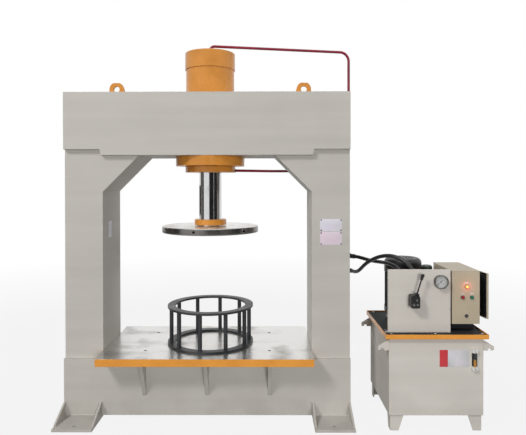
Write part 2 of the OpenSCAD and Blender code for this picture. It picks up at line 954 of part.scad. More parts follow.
// A piece drawn at the tank's front left corner, repeated at the other three
module tank_corners() {
    for (flip_x = [0, 1], flip_y = [0, 1])
        translate([tank_x + tank_w / 2, tank_y + tank_d / 2, 0])
            mirror([flip_x, 0, 0]) mirror([0, flip_y, 0])
                translate([-tank_w / 2, -tank_d / 2, 0]) children();
}

// The oil tank: a welded box, open at the top, on four legs and with four sling hooks
module tank() {
    low = [tank_x, tank_y, leg_h];
    high = [tank_x + tank_w, tank_y + tank_d, tank_top];
    wall = [tank_t, tank_t, tank_t];
    color(paint_grey) {
        difference() {
            block(low, high);
            block(low + wall, [high[0] - tank_t, high[1] - tank_t, tank_top + 1]);
        }
        tank_corners() translate([leg_inset, leg_inset, 0]) tank_leg();
        tank_corners() translate([0, 0, sling_z - sling_h]) plate_y(sling_inset, sling_inset + sling_t)
            mirror([1, 0, 0]) sling_hook();
    }
}

// The tray: the tank's lid, with a rim folded round it
module tank_lid() {
    low = [unit_x, unit_y, rim_under];
    high = [unit_x + tray_w, unit_y + tray_d, tray_h];
    rim = [rim_t, rim_t, 0];
    color(orange) difference() {
        union() {
            difference() {
                block(low, high);
                block(low + rim - [0, 0, 1], high - rim + [0, 0, 1]);
            }
            block([low[0], low[1], tank_top] + rim / 2, [high[0], high[1], tray_floor] - rim / 2);
        }
        translate([motor_x, motor_y, 0]) drill(pump_d + 2 * loose, rim_under, rim_h);
    }
}

// The oil level gauge: a back plate, two end blocks and the sight tube between them
module level_gauge() {
    end_h = 26;
    color(steel) translate([level_x, tank_y, level_z]) {
        block([-level_w / 2, -8, -level_h / 2], [level_w / 2, 0, level_h / 2]);
        for (side = [-1, 1])
            translate([0, 0, side * (level_h - end_h) / 2])
                block([-level_w / 2 + 4, -24, -end_h / 2], [level_w / 2 - 4, -8, end_h / 2]);
        translate([0, -16, -level_h / 2 + end_h / 2]) cylinder(d = 18, h = level_h - end_h);
    }
}

module return_filter() {
    head = filter_d + 12;
    head_low = filter_h - filter_head_h;
    color([0.1, 0.16, 0.13]) translate([filter_x, filter_y, tray_floor]) rotate_extrude() polygon([
        [0, 0], [filter_foot_d / 2, 0], [filter_foot_d / 2, filter_foot_h], [filter_d / 2, filter_foot_h],
        [filter_d / 2, head_low], [head / 2, head_low], [head / 2, filter_h - 12],
        [head / 2 - 12, filter_h], [0, filter_h]
    ]);
}

// The front panel: one folded sheet with side and top flanges and a foot turned out at its left
module front_panel() {
    low = [panel_x, panel_y, tray_floor];
    far = panel_x + panel_w;
    top = tray_floor + panel_h;
    deep = panel_y + panel_flange;
    cut = [body_w / 2 + loose, body_h / 2 + loose];
    color(paint_grey) difference() {
        union() {
            block(low, [far, panel_y + panel_t, top]);
            block(low, [panel_x + panel_t, deep, top]);
            block([far - panel_t, panel_y, tray_floor], [far, deep, top]);
            block([panel_x, panel_y, top - panel_t], [far, panel_y + panel_flange / 2, top]);
            block([panel_x - panel_foot, panel_y, tray_floor], [panel_x, deep, tray_floor + panel_t]);
        }
        plate_y(panel_y - 1, panel_y + panel_t + 1) {
            translate([gauge_x, gauge_z]) circle(d = gauge_boss_d + 2 * loose);
            translate([valve_x - cut[0], valve_z - cut[1]]) square(2 * cut);
        }
    }
}

// Things that stand on the motor's axis
module on_motor_axis() {
    translate([motor_x, motor_y, 0]) children();
}

module motor_body() {
    cowl_low = motor_top - cowl_h;
    core_r = motor_d / 2 - fin_h;
    fin_low = motor_low + motor_flange_t;
    box_z_mid = (fin_low + cowl_low) / 2;
    color(black) on_motor_axis() difference() {
        union() {
            drill(motor_d, motor_low, motor_flange_t);
            drill(2 * core_r, motor_low, cowl_low - motor_low);
            drill(motor_d - 2 * cowl_t - 2 * running, cowl_low, cowl_seat);
            for (i = [0 : fins - 1]) {
                turn = i * 360 / fins;
                if (abs(turn - 90) > terminal_turn)
                    rotate([0, 0, turn]) block([core_r - fin_root, -fin_t / 2, fin_low - fin_root],
                        [core_r + fin_h - fin_root, fin_t / 2, cowl_low - fin_root]);
            }
            block([-terminal_w / 2, core_r - fin_h, box_z_mid - terminal_w / 2],
                [terminal_w / 2, motor_d / 2 + terminal_out, box_z_mid + terminal_w / 2]);
        }
        drill(shaft_d + 2 * running, motor_low - 1, motor_h);
    }
}

// The section of a round cowl with a rolled shoulder
module cowl_section(r, h, roll) {
    square([r, h - roll]);
    square([r - roll, h]);
    translate([r - roll, h - roll]) circle(r = roll);
}

module motor_cowl() {
    color(black) on_motor_axis() translate([0, 0, motor_top - cowl_h]) difference() {
        rotate_extrude() difference() {
            intersection() {
                cowl_section(motor_d / 2, cowl_h, cowl_roll);
                square([motor_d, cowl_h]);
            }
            cowl_section(motor_d / 2 - cowl_t, cowl_h - cowl_t, cowl_roll - cowl_t);
        }
        difference() {
            for (r = grille_rs) ring(2 * r + grille_w, 2 * r - grille_w, cowl_h - cowl_t - 1, cowl_t + 2);
            for (a = [0, 90]) rotate([0, 0, a]) cube([motor_d, grille_w, 3 * cowl_h], center = true);
        }
    }
}

// Shaft, fan and pump drive in one turning piece
module motor_rotor() {
    low = tray_floor - pump_h + pump_floor;
    color(steel) on_motor_axis() {
        drill(shaft_d, low, fan_low + fan_h - low);
        drill(fan_d, fan_low, 4);
        for (i = [0 : fan_blades / 2 - 1])
            rotate([0, 0, i * 360 / fan_blades]) translate([0, 0, fan_low + fan_h / 2])
                cube([fan_d, 4, fan_h], center = true);
    }
}

module bell_housing() {
    hole = shaft_d + 20;
    color(black) on_motor_axis() translate([0, 0, tray_floor]) {
        ring(bell_d + 60, hole, 0, bell_t);
        ring(bell_d, bell_d - 2 * bell_t, bell_t, bell_h - 2 * bell_t);
        ring(motor_d, hole, bell_h - bell_t, bell_t);
    }
}

module pump() {
    color(steel) on_motor_axis() difference() {
        drill(pump_d, tray_floor - pump_h, pump_h);
        drill(shaft_d + 2 * running, tray_floor - pump_h + pump_floor - apart, pump_h);
    }
}

// The hand valve behind the panel, with the manifold that the hoses screw into
module valve_body() {
    top = valve_z + body_h / 2;
    color(steel) {
        block([valve_x - body_w / 2, panel_y, valve_z - body_h / 2],
            [valve_x + body_w / 2, panel_y + body_deep, top]);
        block([upper_port_x - 30, hose_port_y - 35, top],
            [lower_port_x + 30, hose_port_y + 35, manifold_top]);
    }
}

// Things in the lever's own frame: X along its pivot, Z along the lever
module on_lever() {
    translate([lever_x, lever_y, lever_z]) rotate([0, lever_lean, 0]) children();
}

module valve_cap() {
    inner = [valve_w - 2 * valve_corner, valve_h - 2 * valve_corner];
    slot = lever_eye_w / 2 + apart;
    eye = lever_eye_d / 2;
    color(black) {
        difference() {
            union() {
                plate_y(panel_y - valve_deep, panel_y) translate([valve_x, valve_z]) {
                    square([valve_w, inner[1]], center = true);
                    square([inner[0], valve_h], center = true);
                    for (x = [-1, 1], z = [-1, 1])
                        translate([x * inner[0] / 2, z * inner[1] / 2]) circle(r = valve_corner);
                }
                on_lever() block([-slot - ear_t, -eye - 2, -3 * eye], [slot + ear_t, eye + 2, eye + 1]);
            }
            on_lever() block([-slot, -eye - 3, -eye - 3], [slot, eye + 3, 4 * eye]);
        }
        on_lever() rotate([0, 90, 0]) cylinder(d = lever_pin_d, h = 2 * (slot + ear_t), center = true);
    }
}

module valve_lever() {
    color(black) on_lever() difference() {
        union() {
            rotate([0, 90, 0]) cylinder(d = lever_eye_d, h = lever_eye_w, center = true);
            cylinder(d1 = lever_root_d, d2 = lever_tip_d, h = lever_l - knob_seat);
            cylinder(d = lever_tip_d, h = lever_l);
        }
        rotate([0, 90, 0]) cylinder(d = lever_pin_d + 2 * running, h = 2 * lever_eye_w, center = true);
    }
}

module lever_knob() {
    color(black) on_lever() translate([0, 0, lever_l - knob_seat]) difference() {
        rotate_extrude() polygon([
            [0, 0], [knob_r - 5, 0], [knob_r - 4, 3], [knob_r, knob_l - 12], [knob_r - 1, knob_l - 5],
            [knob_r - 5, knob_l], [0, knob_l]
        ]);
        drill(lever_tip_d + 2 * running, -1, knob_seat + 1 + apart);
    }
}

// Things on the gauge's axis: X and Y across its face, Z out of it
module on_gauge() {
    translate([gauge_x, panel_y, gauge_z]) rotate([90, 0, 0]) children();
}

module gauge_case() {
    r = gauge_d / 2;
    color(steel) on_gauge() {
        rotate_extrude() polygon([
            [0, -gauge_boss_l], [gauge_boss_d / 2, -gauge_boss_l], [gauge_boss_d / 2, 0], [r - 2, 0],
            [r - 2, gauge_deep - 10], [r, gauge_deep - 8], [r, gauge_deep - 2], [r - 2, gauge_deep],
            [r - gauge_rim, gauge_deep], [r - gauge_rim, gauge_lens_z + gauge_lens_t],
            [r - 4, gauge_lens_z + gauge_lens_t], [r - 4, gauge_dial_z], [needle_pin_d / 2, gauge_dial_z],
            [needle_pin_d / 2, needle_z + needle_t + 2], [0, needle_z + needle_t + 2]
        ]);
    }
}

module gauge_needle() {
    r = gauge_d / 2 - 12;
    color(black) on_gauge() translate([0, 0, needle_z]) difference() {
        union() {
            rotate([0, 0, needle_zero]) linear_extrude(needle_t)
                polygon([[-14, -2], [-14, 2], [r, 0.6], [r, -0.6]]);
            cylinder(d = needle_hub_d, h = needle_t);
        }
        drill(needle_pin_d + 2 * running, -1, needle_t + 2);
    }
}

module gauge_lens() {
    color([0.8, 0.85, 0.87, 0.4]) on_gauge() drill(gauge_d - 8 - 2 * running, gauge_lens_z, gauge_lens_t);
}

// Electric box

// Things on the box's front: X across, Y up and Z out of it
module on_box_front(x, z) {
    translate([x, box_y, z]) rotate([90, 0, 0]) children();
}

// The places of the two push buttons and the lamp
module front_places() {
    for (x = [stop_x, start_x]) on_box_front(x, button_z) children();
    on_box_front(lamp_x, lamp_z) children();
}

// The box: six sheets with a hairline joint between neighbours, open at its right side inside a lip,
// on two feet, with the pins of its lift-off hinges
module electric_box() {
    low = [box_x, box_y, box_z];
    high = low + [box_w, box_d, box_h];
    front = low[1] + box_t + apart;
    rear = high[1] - box_t - apart;
    left = low[0] + box_t + apart;
    color(beige) {
        difference() {
            block(low, [high[0], low[1] + box_t, high[2]]);
            front_places() drill(sleeve_out + 2 * running, -2 * box_t, 3 * box_t);
            on_box_front(cable_hole_x, cable_hole_z) drill(cable_hole_d, -2 * box_t, 3 * box_t);
        }
        block([low[0], high[1] - box_t, low[2]], high);
        block([low[0], front, low[2]], [low[0] + box_t, rear, high[2]]);
        block([left, front, low[2]], [high[0], rear, low[2] + box_t]);
        block([left, front, high[2] - box_t], [high[0], rear, high[2]]);
        difference() {
            block([high[0] - box_t, front, low[2] + box_t + apart], [high[0], rear, high[2] - box_t - apart]);
            block([low[0], low[1] + box_lip, door_z + box_lip],
                [high[0] + 1, high[1] - box_lip, door_z + door_h - box_lip]);
        }
        for (y = [box_y + box_d / 4, box_y + 3 * box_d / 4])
            block([box_x + 10, y - box_foot_w / 2, tray_floor],
                [high[0] - 10, y + box_foot_w / 2, box_z - apart]);
        for (z = hinge_zs) {
            translate([hinge_x, hinge_y, 0]) {
                drill(hinge_d, z - hinge_len / 2, hinge_len / 2);
                drill(hinge_pin_d, z - 1, hinge_len / 2);
            }
            block([high[0] + apart, hinge_y - hinge_d / 2, z - hinge_len / 2], [hinge_x, hinge_y, z]);
        }
    }
}

// The door is a shallow pan; it is drawn shut, then swung open on its hinges
module box_door() {
    near = box_x + box_w + door_gap;
    low = [near, box_y + door_edge, door_z];
    high = [near + door_deep, hinge_y - door_edge, door_z + door_h];
    wall = [door_t, door_t, door_t];
    hinge = [hinge_x, hinge_y, 0];
    color(beige) translate(hinge) rotate([0, 0, door_ajar]) translate(-hinge) {
        difference() {
            block(low, high);
            block(low + [-1, door_t, door_t], high - wall);
        }
        translate([high[0], low[1] + 28, door_z + door_h / 2]) rotate([0, 90, 0]) cylinder(d = 20, h = 7);
        for (z = hinge_zs) difference() {
            union() {
                translate([hinge_x, hinge_y, 0]) drill(hinge_d, z + apart, hinge_len / 2 - apart);
                block([hinge_x - 2, high[1], z + apart], [hinge_x + 2, hinge_y, z + hinge_len / 2]);
            }
            translate([hinge_x, hinge_y, 0]) drill(hinge_pin_d + 2 * running, z - 1, hinge_len);
        }
    }
}

// A threaded collar that holds a push button or a lamp in the box's front
module front_collar() {
    difference() {
        union() {
            drill(collar_ring_d, 0, collar_ring_h);
            drill(sleeve_out, -sleeve_l, sleeve_l + 1);
        }
        drill(button_d, -loose, collar_ring_h + 1);
        drill(sleeve_d, -sleeve_l - 1, sleeve_l + 1);
    }
}

module push_button() {
    drill(button_d - 2 * running, button_travel, collar_ring_h + button_proud - button_travel);
    drill(sleeve_d - 2 * running, -sleeve_l, sleeve_l + button_travel + 1);
}

module stop_button() {
    color([0.6, 0.09, 0.1]) on_box_front(stop_x, button_z) push_button();
}

module start_button() {
    color([0.05, 0.42, 0.3]) on_box_front(start_x, button_z) push_button();
}

module button_collars() {
    color(steel) {
        front_places() front_collar();
    }
    color(black) on_box_front(cable_hole_x, cable_hole_z) {
        ring(cable_hole_d + 8, cable_hole_d - 8, 0, 2);
        ring(cable_hole_d, cable_hole_d - 8, -box_t, box_t);
    }
}

module signal_lamp() {
    color([1, 0.45, 0.1]) on_box_front(lamp_x, lamp_z) rotate_extrude() intersection() {
        union() {
            square([button_d / 2 - running, lamp_h]);
            translate([0, lamp_h]) circle(d = button_d - 2 * running);
        }
        square(2 * button_d);
    }
}

base_plate_left();
base_plate_right();
foot_gussets();
column_front_left();
column_front_right();
column_rear_left();
column_rear_right();
column_outer_left();
column_outer_right();
column_inner_left();
column_inner_right();
beam_front_plate();
beam_rear_plate();
beam_bottom_plate();
beam_top_plate();
lifting_lugs();
lower_front_plate();
lower_rear_plate();
bed_plate();
bed_ribs();
cylinder_barrel();
cylinder_end_cap();
cylinder_flange();
rod_gland();
cylinder_screws();
rod_seals();
piston();
piston_seals();
piston_rod();
rod_collar();
platen();
upper_pipe();
lower_pipe();
pipe_fittings();
upper_hose();
lower_hose();
press_cage();
tank();
tank_lid();
level_gauge();
return_filter();
front_panel();
motor_body();
motor_cowl();
motor_rotor();
bell_housing();
pump();
valve_body();
valve_cap();
valve_lever();
lever_knob();
gauge_case();
gauge_needle();
gauge_lens();
electric_box();
box_door();
stop_button();
start_button();
button_collars();
signal_lamp();
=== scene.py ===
# %% [markdown]
# # A hydraulic press and its power unit
# The machine is a welded H frame with a cylinder through its beam, a round platen over a flat bed, and a
# small power unit beside it. The solids are already at their real size and place, so this lesson only
# dresses them: first the camera and the two hoses, then one finish for each material, then the small pieces
# a maker adds last.

# %% Load the solids
import math

import bmesh
import bpy
from mathutils import Matrix, Vector


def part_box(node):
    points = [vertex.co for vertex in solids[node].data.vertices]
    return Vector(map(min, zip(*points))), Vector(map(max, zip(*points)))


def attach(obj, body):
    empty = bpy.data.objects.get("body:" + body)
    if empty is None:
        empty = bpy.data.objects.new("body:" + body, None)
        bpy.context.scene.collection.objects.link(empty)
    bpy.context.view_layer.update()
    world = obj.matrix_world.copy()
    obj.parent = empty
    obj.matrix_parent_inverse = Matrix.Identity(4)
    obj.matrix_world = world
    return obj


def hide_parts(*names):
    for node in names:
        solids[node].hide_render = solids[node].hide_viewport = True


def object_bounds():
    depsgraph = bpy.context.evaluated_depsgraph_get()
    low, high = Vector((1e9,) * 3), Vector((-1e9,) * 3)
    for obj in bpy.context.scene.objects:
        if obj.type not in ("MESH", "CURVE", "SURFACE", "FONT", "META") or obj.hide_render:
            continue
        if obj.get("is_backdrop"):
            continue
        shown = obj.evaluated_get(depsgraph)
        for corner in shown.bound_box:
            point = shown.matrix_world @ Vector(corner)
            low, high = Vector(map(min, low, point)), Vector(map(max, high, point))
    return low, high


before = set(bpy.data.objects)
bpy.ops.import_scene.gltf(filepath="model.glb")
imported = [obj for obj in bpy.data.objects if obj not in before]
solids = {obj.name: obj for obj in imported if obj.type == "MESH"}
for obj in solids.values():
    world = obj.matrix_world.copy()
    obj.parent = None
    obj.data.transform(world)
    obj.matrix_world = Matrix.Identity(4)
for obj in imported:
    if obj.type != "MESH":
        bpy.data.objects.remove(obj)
cad_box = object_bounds()
print("solids loaded:", len(solids))

# %% [markdown]
# ## The camera
# The viewer stands in front of the press, a little to the right of its middle, at eye height. The lens is
# worked out from the picture's width and a focal length in pixels, and a small downward shift keeps the
# columns upright in the frame, as a view camera would. Tilting the camera instead would make the columns
# lean.

# %% Camera
PICTURE_W = 526
FOCAL_PIXELS = 528.1
SENSOR_MM = 36.0
SHIFT_PIXELS = -29.2
EYE = (0.4517, -4.2754, 1.7726)
LOOK_DEG = (89.56, 0.07, 0.35)

lens = bpy.data.cameras.new("camera")
lens.sensor_fit = "HORIZONTAL"
lens.sensor_width = SENSOR_MM
lens.lens = SENSOR_MM * FOCAL_PIXELS / PICTURE_W
lens.shift_y = SHIFT_PIXELS / PICTURE_W
camera = bpy.data.objects.new("camera", lens)
camera.location = EYE
camera.rotation_euler = [math.radians(a) for a in LOOK_DEG]
bpy.context.scene.collection.objects.link(camera)
bpy.context.scene.camera = camera
print("lens:", round(lens.lens, 2), "mm")

# %% [markdown]
# ## The hoses
# Two rubber hoses carry the oil from the power unit to the steel pipes on the right column. A hose is a
# fixed length of something stiff, so it is drawn as one smooth curve through listed points, with a
# round bevel. A mesh tube would do as well, but a curve keeps its roundness in every bend.

# %% Hoses
HOSE_D = 0.030
CURVE_STEPS = 6
HOSE_ROUTES = {
    "upper_hose": [
        (1.198, 0.181, 1.163), (1.222, 0.161, 1.161), (1.252, 0.131, 1.156), (1.282, 0.097, 1.150),
        (1.311, 0.058, 1.146), (1.338, 0.012, 1.146), (1.362, -0.040, 1.149), (1.383, -0.095, 1.152),
        (1.402, -0.148, 1.153), (1.421, -0.197, 1.149), (1.440, -0.240, 1.139), (1.457, -0.278, 1.120),
        (1.471, -0.309, 1.094), (1.481, -0.332, 1.063), (1.485, -0.343, 1.030),
    ],
    "lower_hose": [
        (1.182, 0.263, 1.029), (1.196, 0.238, 1.028), (1.209, 0.208, 1.030), (1.222, 0.172, 1.041),
        (1.235, 0.134, 1.062), (1.250, 0.095, 1.091), (1.268, 0.050, 1.122), (1.288, 0.002, 1.149),
        (1.310, -0.046, 1.173), (1.333, -0.092, 1.193), (1.358, -0.138, 1.208), (1.389, -0.183, 1.218),
        (1.425, -0.225, 1.219), (1.468, -0.264, 1.206), (1.508, -0.299, 1.177), (1.538, -0.325, 1.134),
        (1.554, -0.339, 1.082), (1.558, -0.343, 1.030),
    ],
}


def smooth_route(points):
    """A curve that passes through every point, with CURVE_STEPS short chords to each span."""
    knots = [Vector(p) for p in points]
    knots = [2 * knots[0] - knots[1]] + knots + [2 * knots[-1] - knots[-2]]
    route = []
    for a, b, c, d in zip(knots, knots[1:], knots[2:], knots[3:]):
        for step in range(CURVE_STEPS):
            t = step / CURVE_STEPS
            route.append(0.5 * (2 * b + (c - a) * t + (2 * a - 5 * b + 4 * c - d) * t * t
                                + (3 * b - a - 3 * c + d) * t ** 3))
    return route + [knots[-2]]


def make_hose(name):
    route = smooth_route(HOSE_ROUTES[name])
    curve = bpy.data.curves.new(name + "_curve", "CURVE")
    curve.dimensions = "3D"
    curve.bevel_depth = 1.0
    curve.bevel_resolution = 6
    curve.use_fill_caps = True
    spline = curve.splines.new("POLY")
    spline.points.add(len(route) - 1)
    for point, place in zip(spline.points, route):
        point.co = (*place, 1.0)
        point.radius = HOSE_D / 2
    piece = bpy.data.objects.new(name + "_run", curve)
    bpy.context.scene.collection.objects.link(piece)
    length = sum((b - a).length for a, b in zip(route, route[1:]))
    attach(piece, "root")
    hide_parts(name)
    print(name, "is", round(length, 3), "m long")
    return piece


hoses = [make_hose(name) for name in HOSE_ROUTES]

# %% [markdown]
# ## Finishes
# Every surface gets its look from a few shader nodes. Masks and mixes are sums, so a small class wraps a
# socket and lets it be added and multiplied in Python. A second class starts a material, adds any other
# node through one method, and sets the shader's own sockets.

# %% Shader arithmetic
class Wire:
    """A shader socket that can be used in a sum."""

    def __init__(self, finish, socket):
        self.finish = finish
        self.socket = socket

    def math(self, operation, a, b):
        return self.finish.node("ShaderNodeMath", {"operation": operation}, {0: a, 1: b})

    def __add__(self, other):
        return self.math("ADD", self, other)

    def __sub__(self, other):
        return self.math("SUBTRACT", self, other)

    def __rsub__(self, other):
        return self.math("SUBTRACT", other, self)

    def __mul__(self, other):
        return self.math("MULTIPLY", self, other)

    def __gt__(self, other):
        return self.math("GREATER_THAN", self, other)

    def __lt__(self, other):
        return self.math("LESS_THAN", self, other)

    __radd__ = __add__
    __rmul__ = __mul__


class Finish:
    """A material under construction."""

    def __init__(self, name):
        self.material = bpy.data.materials.new(name)
        self.material.use_nodes = True
        self.tree = self.material.node_tree
        self.shader = self.tree.nodes["Principled BSDF"]
        self.place = self.node("ShaderNodeTexCoord", {}, {}, "Object")

    def node(self, kind, settings, sockets, out=0):
        made = self.tree.nodes.new(kind)
        for key, value in settings.items():
            setattr(made, key, value)
        for key, value in sockets.items():
            if isinstance(value, Wire):
                self.tree.links.new(value.socket, made.inputs[key])
            else:
                made.inputs[key].default_value = value
        return Wire(self, made.outputs[out])

    def set(self, **values):
        for key, value in values.items():
            socket = self.shader.inputs[key.replace("_", " ").title()]
            if isinstance(value, Wire):
                self.tree.links.new(value.socket, socket)
            else:
                socket.default_value = value

    def stretched(self, scale):
        return self.node("ShaderNodeMapping", {}, {"Vector": self.place, "Scale": scale})

    def noise(self, scale, detail=3.0, place=None):
        place = place or self.place
        return self.node("ShaderNodeTexNoise", {}, {"Vector": place, "Scale": scale, "Detail": detail})

    def between(self, value, low, high, to_low=0.0, to_high=1.0):
        sockets = {"Value": value, "From Min": low, "From Max": high, "To Min": to_low, "To Max": to_high}
        return self.node("ShaderNodeMapRange", {}, sockets)

    def blend(self, factor, a, b):
        return self.node("ShaderNodeMix", {"data_type": "RGBA"}, {0: factor, 6: a, 7: b}, 2)

    def axis(self, vector, index):
        return self.node("ShaderNodeSeparateXYZ", {}, {"Vector": vector}, index)

    def absolute(self, value):
        return self.node("ShaderNodeMath", {"operation": "ABSOLUTE"}, {0: value})

    def larger(self, a, b):
        return self.node("ShaderNodeMath", {"operation": "MAXIMUM"}, {0: a, 1: b})

    def facing(self, index):
        """One component of the surface's own direction."""
        return self.axis(self.node("ShaderNodeNewGeometry", {}, {}, "Normal"), index)

    def soft_edge(self, radius):
        return self.node("ShaderNodeBevel", {"samples": 6}, {"Radius": radius})

    def edge_mask(self, rounded):
        """Near 1 where the rounded direction leaves the true one, which is along the edges."""
        true = self.node("ShaderNodeNewGeometry", {}, {}, "True Normal")
        dot = self.node("ShaderNodeVectorMath", {"operation": "DOT_PRODUCT"}, {0: rounded, 1: true}, "Value")
        return self.between(dot, 0.995, 0.8)

    def bump(self, height, distance, strength=1.0, normal=None):
        sockets = {"Height": height, "Distance": distance, "Strength": strength}
        if normal:
            sockets["Normal"] = normal
        return self.node("ShaderNodeBump", {}, sockets)


def paint(hex_code):
    """A colour written as on a screen, turned into the linear light that the shader wants."""
    channels = [int(hex_code[i:i + 2], 16) / 255 for i in (0, 2, 4)]
    linear = [c / 12.92 if c <= 0.04045 else ((c + 0.055) / 1.055) ** 2.4 for c in channels]
    return (*linear, 1.0)


# %% [markdown]
# ## The frame's enamel
# The frame is welded from thick plate and sprayed a warm light grey. Sprayed enamel on plate is never quite
# even: it has faint bands from the rolling of the plate, a fine orange peel, paler worn edges and some
# grime near the floor. A texture painted by hand could hold all that, but noise in object space fits plates
# of every size.

# %% Grey enamel
def grey_enamel(name, dark, light, floor_grime):
    f = Finish(name)
    rounded = f.soft_edge(0.004)
    height = f.axis(f.place, 2)
    bands = f.noise(2.2, 3.0, f.stretched((0.3, 0.3, 5.0)))
    clouds = f.noise(1.7, 4.0)
    tone = f.between(bands + clouds, 0.8, 1.2)
    colour = f.blend(tone, paint(dark), paint(light))
    scuffs = f.between(f.noise(3.6, 7.0), 0.45, 0.75)
    grime = f.between(height, 0.45, 0.0) * scuffs * floor_grime
    colour = f.blend(grime, colour, paint("8E897F"))
    wear = f.edge_mask(rounded) * f.between(f.noise(26.0, 4.0), 0.42, 0.62)
    colour = f.blend(wear * 0.45, colour, paint("DAD7D1"))
    peel = f.noise(420.0, 2.0) * 0.35 + f.noise(5.0, 2.0)
    f.set(base_color=colour, roughness=f.between(clouds, 0.3, 0.7, 0.52, 0.64))
    f.set(normal=f.bump(peel, 0.0012, 0.5, rounded))
    return f.material


frame_grey = grey_enamel("frame_enamel", "B8B4AD", "BFBBB4", 0.45)
tank_grey = grey_enamel("tank_enamel", "C8C2BA", "D0CBC3", 0.35)
print("grey enamels made")

# %% [markdown]
# ## Orange enamel, and the two pieces that are only partly orange
# The cylinder, lugs, collar, tray rim and the bed's edge are a glossy orange. The bed plate and the tray
# are one solid each but have two finishes: the bed is bare steel on top, and the tray's floor is black. The
# surface's own direction tells the top from the sides, so one material with a mask does it, and no face has
# to be picked out.

# %% Orange enamel
CYLINDER_ORANGE = ("C5812F", "D48D3A")
TRIM_ORANGE = ("DB9030", "E59A38")


def orange_coat(f, rounded, dark, light):
    """Base colour, roughness and relief of the orange, for use alone or under a mask."""
    clouds = f.noise(6.0, 4.0)
    colour = f.blend(f.between(clouds, 0.35, 0.65), paint(dark), paint(light))
    wear = f.edge_mask(rounded) * f.between(f.noise(34.0, 5.0), 0.52, 0.7)
    colour = f.blend(wear * 0.25, colour, paint("E9BE85"))
    rough = f.between(f.noise(18.0, 3.0), 0.3, 0.7, 0.2, 0.32)
    relief = f.noise(3.5, 2.0) + f.noise(300.0, 2.0) * 0.12
    return colour, rough, relief


def orange_enamel():
    f = Finish("orange_enamel")
    rounded = f.soft_edge(0.003)
    colour, rough, relief = orange_coat(f, rounded, *CYLINDER_ORANGE)
    f.set(base_color=colour, roughness=rough, normal=f.bump(relief, 0.0014, 0.5, rounded))
    return f.material


def tray_finish():
    f = Finish("tray_enamel")
    rounded = f.soft_edge(0.003)
    colour, rough, relief = orange_coat(f, rounded, *TRIM_ORANGE)
    floor_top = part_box("front_panel")[0].z
    inside = (f.facing(2) > 0.5) * (f.axis(f.place, 2) < floor_top + 0.003)
    oil = f.between(f.noise(5.0, 4.0), 0.4, 0.65)
    black = f.blend(oil, paint("0B0C0E"), paint("131518"))
    f.set(base_color=f.blend(inside, colour, black))
    f.set(roughness=rough * (1 - inside) + inside * (oil * 0.15 + 0.72))
    f.set(normal=f.bump(relief, 0.0014, 0.5, rounded))
    return f.material


orange = orange_enamel()
tray = tray_finish()
print("orange enamels made")

# %% [markdown]
# ## Steel
# The bed is planed, so it has fine straight tool marks along its length, with darker oily patches. The
# platen is turned, so its marks are rings. Both are bare steel: fully metallic, with the marks in the
# roughness and in a slight bump, and stains that take the shine away.

# %% Bare steel
def cad_edge(node, axis):
    """Just inside a solid's outer face along one axis."""
    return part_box(node)[1][axis] - 0.0005


def bed_finish():
    f = Finish("bed_steel")
    rounded = f.soft_edge(0.003)
    colour, rough, relief = orange_coat(f, rounded, *TRIM_ORANGE)
    rim_x, rim_y = (f.absolute(f.axis(f.place, i)) > cad_edge("bed_plate", i) for i in (0, 1))
    painted = f.larger(rim_x, rim_y) * (1 - (f.facing(2) > 0.5))
    top = 1 - painted
    marks = f.noise(40.0, 3.0, f.stretched((0.25, 14.0, 1.0)))
    stains = f.between(f.noise(3.2, 6.0), 0.5, 0.72)
    smears = f.between(f.noise(2.4, 3.0, f.stretched((0.8, 2.2, 1.0))), 0.52, 0.78)
    steel = f.blend(stains, paint("DEDCD9"), paint("97938C"))
    steel = f.blend(smears * 0.5, steel, paint("5E5B57"))
    # Upright faces inside the orange rim, the walls of the holes, are painted near-black: painted shade
    # inside the holes.
    upright = f.absolute(f.facing(2)) < 0.5
    steel = f.blend(upright, steel, paint("1B1A18"))
    shine = f.between(marks, 0.3, 0.7, 0.2, 0.36) + stains * 0.14
    f.set(base_color=f.blend(top, colour, steel), metallic=top)
    f.set(roughness=rough * (1 - top) + shine * top)
    f.set(normal=f.bump(relief * (1 - top) + marks * top * 0.2, 0.0012, 0.4, rounded))
    return f.material


def turned_steel(name, light, dark, ring_scale, painted_rim_shade=0.0):
    f = Finish(name)
    rounded = f.soft_edge(0.002)
    across = f.node("ShaderNodeVectorMath", {"operation": "MULTIPLY"}, {0: f.place, 1: (1.0, 1.0, 0.0)})
    radius = f.node("ShaderNodeVectorMath", {"operation": "LENGTH"}, {0: across}, "Value")
    spread = f.node("ShaderNodeCombineXYZ", {}, {0: radius, 2: f.axis(f.place, 2)})
    rings = f.noise(ring_scale, 3.0, spread)
    stains = f.between(f.noise(4.5, 6.0), 0.45, 0.7)
    spots = f.between(f.noise(38.0, 3.0), 0.62, 0.75)
    colour = f.blend(stains * 0.7 + spots * 0.3, paint(light), paint(dark))
    # Upright faces, the rim, are darkened by painted_rim_shade: painted shade on the sides of the steel.
    up = f.facing(2)
    rim = 1 - up * up
    colour = f.blend(rim * painted_rim_shade, colour, paint("3B3936"))
    f.set(base_color=colour, metallic=1.0)
    f.set(roughness=f.between(rings, 0.3, 0.7, 0.16, 0.34) + stains * 0.16)
    f.set(normal=f.bump(rings, 0.0004, 0.35, rounded))
    return f.material


def chrome_plate():
    f = Finish("hard_chrome")
    wipe = f.noise(30.0, 3.0, f.stretched((1.0, 1.0, 0.08)))
    film = f.between(f.noise(7.0, 4.0), 0.5, 0.75)
    f.set(base_color=f.blend(film * 0.5, paint("D3D3D4"), paint("A6A5A2")), metallic=1.0)
    f.set(roughness=f.between(wipe, 0.3, 0.7, 0.05, 0.13) + film * 0.08)
    f.set(normal=f.bump(wipe, 0.0002, 0.2))
    return f.material


